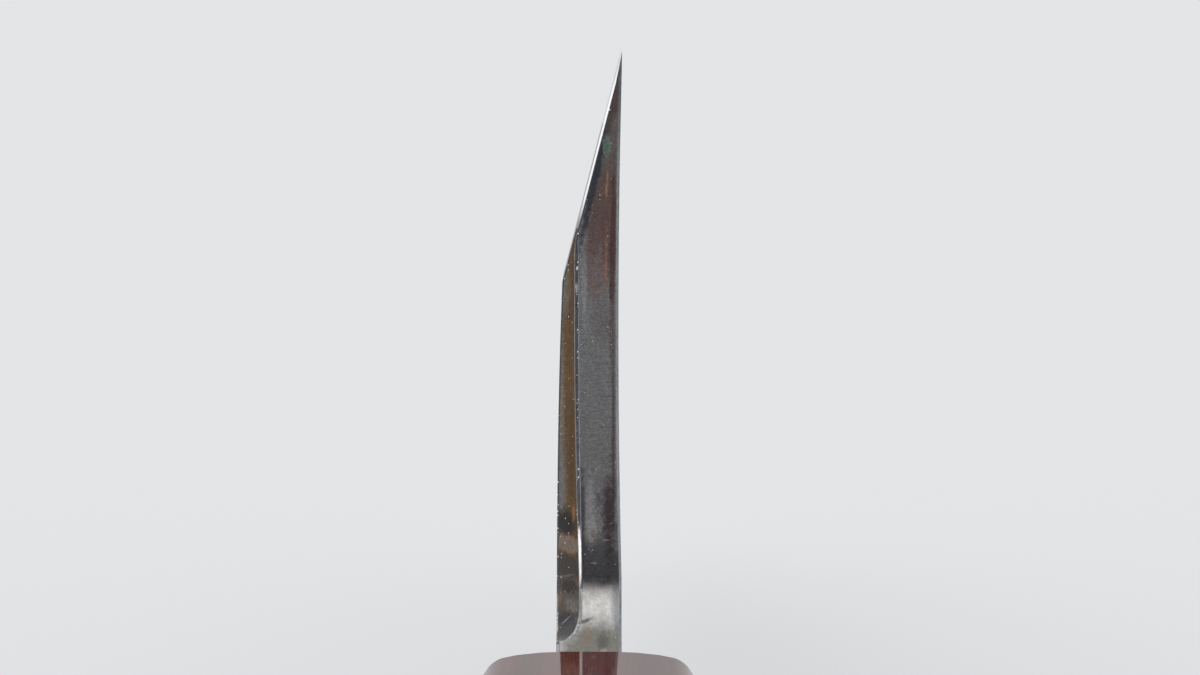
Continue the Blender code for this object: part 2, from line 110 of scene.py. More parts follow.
class Nodes:
    """The nodes of a new material or world, with a short call for each kind used often."""

    def __init__(self, owner: bpy.types.Material | bpy.types.World) -> None:
        """Empties the node tree.

        Args:
            owner: The new material or world.
        """
        owner.use_nodes = True
        self.owner, self.tree = owner, owner.node_tree
        self.tree.nodes.clear()

    def add(
        self, kind: str, inputs: Mapping[Any, Any] | None = None, output: int | str = 0,
        **settings: Any,
    ) -> Socket:
        """Adds one node and gives one of its outputs.

        Args:
            kind: The node's type without "ShaderNode".
            inputs: For each input a value or the socket that feeds it.
            output: The wanted output's number or name.
            settings: The node's own properties.

        Returns:
            That output.
        """
        return add_node(self.tree, "ShaderNode" + kind, inputs, **settings).outputs[output]

    def place(self) -> Socket:
        """The object coordinates."""
        return self.add("TexCoord", output="Object")

    def stretch(self, place: Socket, scale: Sequence[float]) -> Socket:
        """Coordinates with another scale along each axis."""
        return self.add("Mapping", {"Vector": place, "Scale": scale})

    def noise(
        self, place: Socket, detail: float, roughness: float = 0.5, scale: float = 1.0
    ) -> Socket:
        """A cloudy pattern, with values about a half."""
        return self.add(
            "TexNoise", {"Vector": place, "Scale": scale, "Detail": detail, "Roughness": roughness}
        )

    def remap(
        self, value: Socket, span: tuple[float, float], to: tuple[float, float] = (0.0, 1.0),
        curve: str = "LINEAR",
    ) -> Socket:
        """Carries values from one span over to another."""
        ends = zip(("From Min", "From Max", "To Min", "To Max"), (*span, *to))
        return self.add("MapRange", {"Value": value} | dict(ends), interpolation_type=curve)

    def blend(
        self, share: Socket | float, under: Socket | Colour, over: Socket | Colour,
        way: str = "MIX",
    ) -> Socket:
        """Lays one colour over another."""
        return self.add("Mix", {0: share, 6: under, 7: over}, 2, data_type="RGBA", blend_type=way)

    def between(self, share: Socket | float, first: Socket, second: Socket | float) -> Socket:
        """The value a share of the way from the first to the second."""
        return self.add("Mix", {0: share, 2: first, 3: second}, data_type="FLOAT")

    def calculate(self, operation: str, *values: Socket | float) -> Socket:
        """One step of arithmetic."""
        return self.add("Math", dict(enumerate(values)), operation=operation)

    def bump(
        self, height: Socket, depth: float, strength: float = 1.0, under: Socket | None = None,
        invert: bool = False,
    ) -> Socket:
        """Shades a relief of a depth in millimetres, on top of another if there is one."""
        inputs = {"Height": height, "Distance": depth * MM, "Strength": strength}
        if under is not None:
            inputs["Normal"] = under
        return self.add("Bump", inputs, invert=invert)

    def finish(self, surface: Socket) -> bpy.types.Material:
        """Ends a material in its surface."""
        add_node(self.tree, "ShaderNodeOutputMaterial", {"Surface": surface})
        return self.owner


def mix(first: float, second: float, share: float) -> float:
    """The value a share of the way from the first to the second."""
    return first + (second - first) * share


def spaced(first: float, last: float, steps: int) -> list[float]:
    """Evenly spaced values from the first up to the last, without it."""
    return [mix(first, last, step / steps) for step in range(steps)]


def smooth_step(share: float) -> float:
    """0 below 0, 1 above 1, and a soft rise between."""
    share = min(max(share, 0.0), 1.0)
    return share * share * (3 - 2 * share)


def bend(start: Point, corner: Point, end: Point, steps: int) -> list[Point]:
    """Rounds a corner.

    Args:
        start: Where the rounding begins.
        corner: The sharp corner that it replaces.
        end: Where the rounding ends.
        steps: How many segments it has.

    Returns:
        Its points, both ends among them.
    """
    shares = [step / steps for step in range(steps + 1)]
    return [start * (1 - s) ** 2 + corner * (2 * s * (1 - s)) + end * s**2 for s in shares]


def lay_grid(
    bm: bmesh.types.BMesh, lines: Sequence[Sequence[Point]], zone_at: Callable[[int, int], int]
) -> None:
    """Lays a grid of faces over lines of points.

    Args:
        bm: The mesh that gets the grid.
        lines: Lines of equally many points.
        zone_at: Gives the material slot of the face at a line and a place along it.
    """
    rows, columns = len(lines) - 1, len(lines[0]) - 1
    verts = bmesh.ops.create_grid(bm, x_segments=columns, y_segments=rows, size=1)["verts"]
    reach = max(vert.co.x for vert in verts)
    places = {
        vert: [
            round((side / reach + 1) / 2 * steps)
            for side, steps in ((vert.co.y, rows), (vert.co.x, columns))
        ]
        for vert in verts
    }
    for face in {face for vert in verts for face in vert.link_faces}:
        face.material_index = zone_at(*map(min, zip(*(places[vert] for vert in face.verts))))
    for vert, (row, column) in places.items():
        vert.co = lines[row][column]


def finish_mesh(bm: bmesh.types.BMesh, name: str, crease: float = CREASE_ANGLE) -> bpy.types.Object:
    """Closes the seams of a mesh, turns its faces outwards and makes an object of it.

    Args:
        bm: The mesh, which is used up.
        name: The object's name.
        crease: Lines that turn by more than this stay crisp.

    Returns:
        The object, at the origin.
    """
    bmesh.ops.remove_doubles(bm, verts=bm.verts, dist=WELD_DISTANCE)
    bmesh.ops.dissolve_degenerate(bm, edges=bm.edges, dist=WELD_DISTANCE)
    bmesh.ops.recalc_face_normals(bm, faces=bm.faces)
    mesh = bpy.data.meshes.new(name)
    bm.to_mesh(mesh)
    bm.free()
    mesh.shade_smooth()
    mesh.set_sharp_from_angle(angle=crease)
    made = bpy.data.objects.new(name, mesh)
    bpy.context.scene.collection.objects.link(made)
    return made


def carve(
    target: bpy.types.Object,
    cutters: Sequence[bpy.types.Object],
    operation: str = "DIFFERENCE",
    crease: float = CREASE_ANGLE,
    split: bool = False,
) -> None:
    """Cuts an object with others, which are then gone.

    Args:
        target: What is cut.
        cutters: What cuts it.
        operation: "DIFFERENCE" to take the cutters away, or "INTERSECT" to keep what they hold.
        crease: Lines that turn by more than this stay crisp.
        split: Whether all faces become triangles, so that no bent one folds over its neighbour.
    """
    for cutter in cutters:
        modifier = target.modifiers.new(cutter.name, "BOOLEAN")
        modifier.operation, modifier.solver, modifier.object = operation, "EXACT", cutter
    depsgraph = bpy.context.evaluated_depsgraph_get()
    carved = bpy.data.meshes.new_from_object(target.evaluated_get(depsgraph), depsgraph=depsgraph)
    target.modifiers.clear()
    old, target.data = target.data, carved
    carved.name = old.name
    bpy.data.meshes.remove(old)
    for cutter in cutters:
        bpy.data.meshes.remove(cutter.data)
    bm = bmesh.new()
    bm.from_mesh(carved)
    bmesh.ops.remove_doubles(bm, verts=bm.verts, dist=CUT_WELD)
    bmesh.ops.dissolve_degenerate(bm, edges=bm.edges, dist=CUT_WELD)
    if split:
        bmesh.ops.triangulate(bm, faces=bm.faces)
    bm.to_mesh(carved)
    bm.free()
    carved.set_sharp_from_angle(angle=crease)


def tapered_box(name: str, near: Sequence[float], far: Sequence[float]) -> bpy.types.Object:
    """A box whose two ends differ in size.

    Args:
        name: The object's name.
        near: y, left, right, low and high of the end towards the butt.
        far: The same of the end towards the blade.

    Returns:
        The box.
    """
    bm = bmesh.new()
    for vert in bmesh.ops.create_cube(bm, size=2)["verts"]:
        y, left, right, low, high = far if vert.co.y > 0 else near
        vert.co = Vector((right if vert.co.x > 0 else left, y, high if vert.co.z > 0 else low))
    return finish_mesh(bm, name)


class Zone(Enum):
    """Areas of the forging that are finished differently, by material slot."""

    HEEL = 0  # the face that the fingers meet, from the neck up to the edge
    FACET = 1  # chamfer on its bevel side
    # ARRIS is finished dark, a painted reflection, and also takes the chamfer's outer rim; GLINT is
    # finished whiter than steel, a painted highlight
    ARRIS = 2  # rounded lines between them
    BORDER = 3  # eased corner towards the back, and the borders of the chamfer
    GLINT = 4  # eased corner towards the bevel, where there is no chamfer
    NECK = 5
    FLAT = 6
    BEVEL = 7
    EDGE = 8
    BACK = 9
    BACK_RIM = 10
    SPINE = 11
    TANG = 12


class Axis(Enum):
    """The way a pattern's lines run."""

    X = 0
    Y = 1
    Z = 2


@dataclass(frozen=True)
class StainAndPaintedLight:
    """A cloudy patch of colour on metal, in millimetres: a real stain or scratch, or a painted
    reflection, highlight or shade.
    """

    x: float
    z: float
    reach_x: float
    reach_z: float
    colour: str
    strength: float = 1.0
    softness: float = 0.5  # share of the reach over which it fades
    ragged: float = 0.35  # how far its border wanders, as a share of the reach
    grain: float = 0.4  # size of that wandering
    lean: float = 0.0  # degrees that its top leans towards the back of the blade
    y: float = 2.0
    reach_y: float = 9.0
    noise: tuple[float, float] = (6.0, 0.65)  # detail and roughness of the wandering

    def lay(self, nodes: Nodes, place: Socket, under: Socket) -> Socket:
        """Lays the patch over a colour.

        Args:
            nodes: The material's nodes.
            place: The object coordinates.
            under: The colour that it lies on.

        Returns:
            The colour with the patch.
        """
        centre, reach = (
            [side * MM for side in sides]
            for sides in ((self.x, self.y, self.z), (self.reach_x, self.reach_y, self.reach_z))
        )
        turn = (0.0, math.radians(self.lean), 0.0)
        local = nodes.add(
            "Mapping", {"Vector": place, "Location": centre, "Rotation": turn, "Scale": reach},
            vector_type="TEXTURE",
        )
        distance = nodes.add("VectorMath", {0: local}, "Value", operation="LENGTH")
        wander = nodes.noise(place, *self.noise, 1 / (self.grain * MM))
        border = nodes.calculate("MULTIPLY_ADD", wander, 4 * self.ragged, distance)
        middle = 1 + 2 * self.ragged  # there the noise, about a half, leaves the border in place
        span = (middle, middle - self.softness)
        mask = nodes.remap(border, span, (0.0, self.strength), "SMOOTHSTEP")
        return nodes.blend(mask, under, linear(self.colour))


@dataclass(frozen=True)
class GroundMetal:
    """Carbon steel or iron, ground and polished: the eye sees its hairlines, haze and specks.

    Sizes are in millimetres. Hairlines are really some hundredths of a millimetre wide, and are
    drawn as wide as they need to be to show.
    """

    name: str
    colour: str
    shade: str  # colour in the hairlines and clouds
    roughness: float
    line_axis: Axis = Axis.Y
    line_length: float = 6.0
    line_width: float = 0.07
    line_depth: float = 0.0006
    line_shade: float = 0.3
    cloud_size: float = 3.0
    cloud_depth: float = 0.35
    cloud_roughness: float = 0.06
    grit: float = 0.0  # how much the strokes of the last stone mottle the colour
    grit_size: float = 0.12
    grit_stretch: float = 2.5
    speck_spacing: float = 0.3
    speck_share: float = 0.0
    speck_size: float = 0.12  # radius of the largest, as a share of their spacing
    speck_colour: str = "#e6e6e2"
    speck_roughness: float = 0.6
    wave: float = 0.0  # slow unevenness of the polish
    wave_size: float = 4.0
    metallic: float = 1.0  # less where a film of oxide and oil scatters some light
    line_noise: tuple[float, float] = (2.5, 0.6)  # detail and roughness, as in the next ones
    cloud_noise: tuple[float, float] = (5.0, 0.62)
    grit_noise: tuple[float, float] = (3.0, 0.8)
    wave_detail: float = 1.0
    line_span: tuple[float, float] = (0.46, 0.72)  # part of a noise's range that shows
    cloud_span: tuple[float, float] = (0.35, 0.68)
    haze_span: tuple[float, float] = (0.3, 0.7)
    grit_span: tuple[float, float] = (0.32, 0.68)
    # patches of colour: real stains and scratches, and on the heel, chamfer, arris, neck and
    # borders also painted reflection, highlight and shade
    stains_and_painted_light: tuple[StainAndPaintedLight, ...] = ()

    def build(self) -> bpy.types.Material:
        """Makes the material."""
        nodes = Nodes(bpy.data.materials.new(self.name))
        place, shade = nodes.place(), linear(self.shade)
        along = self.drawn_out(nodes, place, self.line_width, self.line_length)
        lines = nodes.noise(along, *self.line_noise)
        clouds = nodes.noise(place, *self.cloud_noise, 1 / (self.cloud_size * MM))
        streaks = nodes.remap(lines, self.line_span, (0.0, self.line_shade), "SMOOTHSTEP")
        veil = nodes.remap(clouds, self.cloud_span, (0.0, self.cloud_depth))
        colour = nodes.blend(veil, nodes.blend(streaks, linear(self.colour), shade), shade)
        for patch_layer in self.stains_and_painted_light:
            colour = patch_layer.lay(nodes, place, colour)
        if self.grit:
            colour = self.mottle(nodes, place, colour)
        ends = (self.roughness - self.cloud_roughness, self.roughness + self.cloud_roughness)
        roughness = nodes.remap(clouds, self.haze_span, ends)
        if self.speck_share:
            specks = self.speck_mask(nodes, place)
            colour = nodes.blend(specks, colour, linear(self.speck_colour))
            roughness = nodes.between(specks, roughness, self.speck_roughness)
        bump = nodes.bump(lines, self.line_depth)
        if self.wave:
            swell = nodes.noise(place, self.wave_detail, scale=1 / (self.wave_size * MM))
            bump = nodes.bump(swell, self.wave, under=bump)
        return nodes.finish(nodes.add("BsdfPrincipled", {
            "Base Color": colour, "Metallic": self.metallic, "Roughness": roughness, "Normal": bump,
        }))

    def drawn_out(self, nodes: Nodes, place: Socket, width: float, length: float) -> Socket:
        """Coordinates for a pattern of this width that is longer along the lines' axis."""
        scale = [1 / (width * MM)] * 3
        scale[self.line_axis.value] = 1 / (length * MM)
        return nodes.stretch(place, scale)

    def mottle(self, nodes: Nodes, place: Socket, under: Socket) -> Socket:
        """Mottles a colour with the short strokes of a fine stone.

        Args:
            nodes: The material's nodes.
            place: The object coordinates.
            under: The colour.

        Returns:
            The mottled colour.
        """
        length = self.grit_size * self.grit_stretch
        along = self.drawn_out(nodes, place, self.grit_size, length)
        scratches = nodes.noise(along, *self.grit_noise)
        light = nodes.remap(scratches, self.grit_span, (1 - self.grit, 1 + self.grit))
        return nodes.blend(1.0, under, light, "MULTIPLY")

    def speck_mask(self, nodes: Nodes, place: Socket) -> Socket:
        """Scatters fine polishing dust.

        Args:
            nodes: The material's nodes.
            place: The object coordinates.

        Returns:
            1 on a speck and 0 between them.
        """
        inputs = {"Vector": place, "Scale": 1 / (self.speck_spacing * MM)}
        cells = add_node(nodes.tree, "ShaderNodeTexVoronoi", inputs).outputs
        chosen = nodes.add("SeparateColor", {0: cells["Color"]}, mode="RGB")
        radius = nodes.remap(chosen, (1 - self.speck_share, 1.0), (0.0, self.speck_size))
        return nodes.calculate("LESS_THAN", cells["Distance"], radius)


@dataclass(frozen=True)
class Hardwood:
    """Reddish-brown hardwood: growth rings, fibres and open pores that run along the handle.

    Sizes are in millimetres. On the end of the handle the same pattern shows as end grain.
    """

    name: str
    light: str
    dark: str
    pore: str
    roughness: float
    ring_width: float = 2.8
    ring_wander: float = 8.0
    wander_scale: tuple[float, float, float] = (120.0, 12.0, 120.0)  # per metre
    wander_detail: float = 2.0
    ring_distortion: float = 1.2
    ring_detail: tuple[float, float] = (2.0, 0.4)  # and its scale
    band_size: tuple[float, float] = (2.1, 70.0)  # across the handle and along it
    band_share: float = 0.72  # weight of the bands against the rings
    fibre_share: float = 0.4  # weight of the fibres against both
    band_noise: tuple[float, float] = (4.0, 0.6)  # detail and roughness
    fibre_noise: tuple[float, float, float] = (3.0, 0.6, 0.8)  # and scale
    tone_span: tuple[float, float] = (0.34, 0.68)  # part of their range between light and dark
    haze_span: tuple[float, float] = (0.3, 0.7)  # part of the fibres' range that changes the haze
    haze_range: tuple[float, float] = (0.85, 1.2)  # the haze there, as a share of the roughness
    pore_width: float = 0.09
    pore_length: float = 2.4
    pore_share: float = 0.5
    pore_span: tuple[float, float] = (0.30, 0.16)  # distance from its middle where a pore fades
    pore_depth: float = 0.02
    relief: float = 0.6  # strength of both depths
    fibre_depth: float = 0.15  # as a share of the pores'
    pith: tuple[float, float, float] = (14.0, 0.0, -22.0)
    gloss: float = 0.0  # weight of a polished coat

    def build(self) -> bpy.types.Material:
        """Makes the material."""
        nodes = Nodes(bpy.data.materials.new(self.name))
        place = nodes.place()
        middle = [-side * MM for side in self.pith]
        centred = nodes.add("Mapping", {"Vector": place, "Location": middle})
        drift = {"Vector": nodes.stretch(centred, self.wander_scale), "Scale": 1.0}
        wander = nodes.add("TexNoise", drift | {"Detail": self.wander_detail}, "Color")
        push = (self.ring_wander * MM, 0.0, self.ring_wander * MM)
        pushed = nodes.add("VectorMath", {0: wander, 1: push, 2: centred}, operation="MULTIPLY_ADD")
        detail, detail_scale = self.ring_detail
        rings = nodes.add(
            "TexWave",
            {"Vector": pushed, "Scale": math.tau / (WAVE_TURN * self.ring_width * MM),
             "Distortion": self.ring_distortion, "Detail": detail, "Detail Scale": detail_scale},
            1, wave_type="RINGS", rings_direction="Y", wave_profile="SIN",
        )
        band, thin = 1 / (self.band_size[0] * MM), 1 / (self.pore_width * MM)
        long_band = nodes.stretch(pushed, (band, 1 / (self.band_size[1] * MM), band))
        bands = nodes.noise(long_band, *self.band_noise)
        long_fibre = nodes.stretch(place, (thin, 1 / (3 * self.pore_length * MM), thin))
        fibres = nodes.noise(long_fibre, *self.fibre_noise)
        long_pore = nodes.stretch(place, (thin / 2, 1 / (2 * self.pore_length * MM), thin / 2))
        cells = nodes.add("TexVoronoi", {"Vector": long_pore, "Scale": 1.0}, "Distance")
        pores = nodes.remap(cells, self.pore_span, (0.0, self.pore_share), "SMOOTHSTEP")

        grown = nodes.between(self.band_share, rings, bands)
        share = nodes.between(self.fibre_share, grown, fibres)
        share = nodes.remap(share, self.tone_span, curve="SMOOTHSTEP")
        colour = nodes.blend(share, linear(self.light), linear(self.dark))
        colour = nodes.blend(pores, colour, linear(self.pore))
        smooth, hazed = self.haze_range
        ends = (self.roughness * smooth, self.roughness * hazed)
        roughness = nodes.remap(fibres, self.haze_span, ends)
        bump = nodes.bump(pores, self.pore_depth, self.relief, invert=True)
        bump = nodes.bump(fibres, self.fibre_depth * self.pore_depth, self.relief, bump)
        return nodes.finish(nodes.add("BsdfPrincipled", {
            "Base Color": colour, "Roughness": roughness, "IOR": 1.5, "Normal": bump,
            "Specular IOR Level": 0.0 if self.gloss else 0.5, "Coat Weight": self.gloss,
            "Coat Roughness": 0.05, "Coat IOR": 1.45,
        }))


@dataclass(frozen=True)
class Resin:
    """Dark filler poured round the neck: the eye sees a dull skin with fine pits."""

    name: str = "dark_resin_filler"
    colour: str = "#2c211d"
    dust: str = "#4a3a33"
    roughness: float = 0.5
    pit_size: float = 0.35
    pit_depth: float = 0.03
    pit_detail: float = 5.0
    dust_span: tuple[float, float] = (0.45, 0.7)  # part of the pits' range that gathers dust
    relief: float = 0.7  # strength of the pits' depth

    def build(self) -> bpy.types.Material:
        """Makes the material."""
        nodes = Nodes(bpy.data.materials.new(self.name))
        pits = nodes.noise(nodes.place(), self.pit_detail, scale=1 / (self.pit_size * MM))
        share = nodes.remap(pits, self.dust_span)
        return nodes.finish(nodes.add("BsdfPrincipled", {
            "Base Color": nodes.blend(share, linear(self.colour), linear(self.dust)),
            "Roughness": self.roughness, "Normal": nodes.bump(pits, self.pit_depth, self.relief),
        }))


@dataclass(frozen=True)
class BladeForm:
    """Outline and thickness of the forging. "Ahead" is the distance from the heel to the tip."""

    heel_y: float = 0.002
    length: float = 0.125
    heel_height: float = 0.0459
    spine_rise: float = 0.0058
    edge_slope: float = 0.085
    spine_easing: float = 0.0003
    spine_thickness: float = 0.00364
    ridge_thickness: float = 0.00329
    flat_fullness: float = 4
    bevel_height: float = 0.0128
    tip_bevel_share: float = 0.86
    distal_taper: float = 0.45
    hollow_depth: float = 0.00018
    back_edge_rim: float = 0.0008
    back_spine_rim: float = 0.003
    back_heel_run: float = 0.030
    back_tip_run: float = 0.016
    steel_thickness: float = 0.00105
    steel_lift: float = 0.0015
    steel_lean: float = 0.012
    heel_facet: float = 0.00078
    heel_facet_neck: float = 0.00132
    facet_depth_ratio: float = 1.15
    facet_fade: tuple[float, float] = (math.radians(14), math.radians(26))
    corner_easing: float = 0.00012
    fillet_radius: float = 0.0078
    neck_length: float = 0.012
    neck_height: float = 0.0088
    neck_thickness: float = 0.00376
    tang_length: float = 0.082
    tang_shoulder: float = 0.006
    tang_end_height: float = 0.005
    tang_end_thickness: float = 0.0022
    axis_z: float = 0.0107
    bevel_blend: float = 4  # the higher, the quicker the bevel's change towards the tip
    corner_share: float = 0.3  # most of what is round it that an eased corner takes
    spine_share: float = 0.2  # the same of the spine's thickness

    @property
    def spine_base(self) -> float:
        """Height of the spine at the heel."""
        return self.axis_z - self.neck_height / 2

    @property
    def edge_base(self) -> float:
        """Height of the edge at the heel."""
        return self.spine_base + self.heel_height

    @property
    def fillet_top(self) -> float:
        """Height at which the neck fillet meets the heel face."""
        return self.spine_base + self.neck_height + self.fillet_radius

    @property
    def back_plane(self) -> float:
        """X of the back before it is hollowed."""
        return self.spine_thickness / 2

    def spine_z(self, ahead: float) -> float:
        """Height of the spine."""
        return self.spine_base + self.spine_rise * (ahead / self.length) ** 3

    def edge_z(self, ahead: float) -> float:
        """Height of the edge."""
        drop = self.heel_height - self.spine_rise - self.edge_slope * self.length
        return self.edge_base - self.edge_slope * ahead - drop / self.length**3 * ahead**3

    def bevel_at(self, ahead: float) -> float:
        """Height of the bevel."""
        room = self.tip_bevel_share * (self.edge_z(ahead) - self.spine_z(ahead))
        power = -self.bevel_blend
        return (self.bevel_height**power + room**power) ** (1 / power)  # softly the smaller one

    def ridge_at(self, ahead: float) -> float:
        """Thickness at the ridge above the bevel."""
        tapered = self.ridge_thickness * (1 - self.distal_taper * (ahead / self.length) ** 2)
        return min(tapered, self.bevel_at(ahead) * self.ridge_thickness / self.bevel_height)

    def thickness(self, ahead: float, z: float) -> float:
        """Thickness of the blade before its back is hollowed."""
        depth, bevel = self.edge_z(ahead) - z, self.bevel_at(ahead)
        if depth < bevel:
            return self.ridge_at(ahead) * depth / bevel
        share = (depth - bevel) / (self.edge_z(ahead) - self.spine_z(ahead) - bevel)
        fullness = 1 - (1 - min(share, 1.0)) ** self.flat_fullness
        return self.ridge_at(ahead) * mix(1, self.spine_thickness / self.ridge_thickness, fullness)

    def neck_line(self, ahead: float) -> float:
        """Height of the row that starts where the fillet meets the heel face."""
        share = (self.fillet_top - self.spine_base) / (self.heel_height - self.bevel_at(0))
        return mix(self.spine_z(ahead), self.edge_z(ahead) - self.bevel_at(ahead), share)

    def hollow(self, ahead: float, z: float) -> float:
        """Depth of the hollow in the back."""
        top = self.edge_z(ahead) - self.back_edge_rim
        widened = smooth_step(ahead / self.back_heel_run)
        bottom = mix(self.neck_line(ahead), self.spine_z(ahead) + self.back_spine_rim, widened)
        if not bottom < z < top:
            return 0.0
        across = (2 * z - top - bottom) / (top - bottom)
        fade = smooth_step((self.length - ahead) / self.back_tip_run)
        return self.hollow_depth * (1 - across**2) * fade

    def tang_share(self, ahead: float) -> float:
        """0 in the neck and 1 at the end of the tang."""
        start = self.neck_length + self.tang_shoulder
        return max(0.0, (-ahead - start) / (self.tang_length - self.tang_shoulder))

    def flanks(self, ahead: float) -> tuple[float, float]:
        """X of the neck's or tang's two flanks, the bevel side's first."""
        share, left = self.tang_share(ahead), -self.spine_thickness / 2
        half = self.tang_end_thickness / 2
        return mix(left, -half, share), mix(left + self.neck_thickness, half, share)

    def back_x(self, ahead: float, z: float) -> float:
        """X of the back."""
        if ahead >= 0:
            return self.back_plane - self.hollow(ahead, z)
        blend = smooth_step(-ahead / self.fillet_radius)
        return mix(self.back_plane - self.hollow(0, z), self.flanks(ahead)[1], blend)

    def bevel_x(self, ahead: float, z: float) -> float:
        """X of the bevelled face."""
        if ahead >= 0:
            return self.back_plane - self.thickness(ahead, z)
        blend = smooth_step(-ahead / self.fillet_radius)
        return mix(self.back_plane - self.thickness(0, z), self.flanks(ahead)[0], blend)

    def bottom_z(self, ahead: float) -> float:
        """Height of the underside."""
        if ahead >= 0:
            return self.spine_z(ahead)
        return mix(self.spine_base, self.axis_z - self.tang_end_height / 2, self.tang_share(ahead))

    def easing_at(self, ahead: float) -> float:
        """Chamfer of the spine's corners."""
        on_blade = max(ahead, 0.0)
        height = self.neck_line(on_blade) - self.spine_z(on_blade)
        thickness = self.thickness(on_blade, self.spine_z(on_blade))
        return min(self.spine_easing, self.corner_share * height, self.spine_share * thickness)

    def facet_width(self, z: float) -> float:
        """Width of the chamfer on the bevel-side corner of the heel face."""
        ridge = self.edge_base - self.bevel_at(0)
        if z >= ridge:
            cut_off = self.thickness(0, z) - (self.ridge_thickness - self.heel_facet)
        else:
            share = (ridge - z) / (ridge - self.fillet_top)
            cut_off = mix(self.heel_facet, self.heel_facet_neck, share)
        return max(cut_off, self.easing_width(z))

    def easing_width(self, z: float) -> float:
        """Width of the eased corner on the back side of the heel face."""
        return min(self.corner_easing, self.corner_share * self.thickness(0, z))

    def at(self, x: float, ahead: float, z: float) -> Point:
        """A point by its distance ahead of the heel."""
        return Vector((x, self.heel_y + ahead, z))


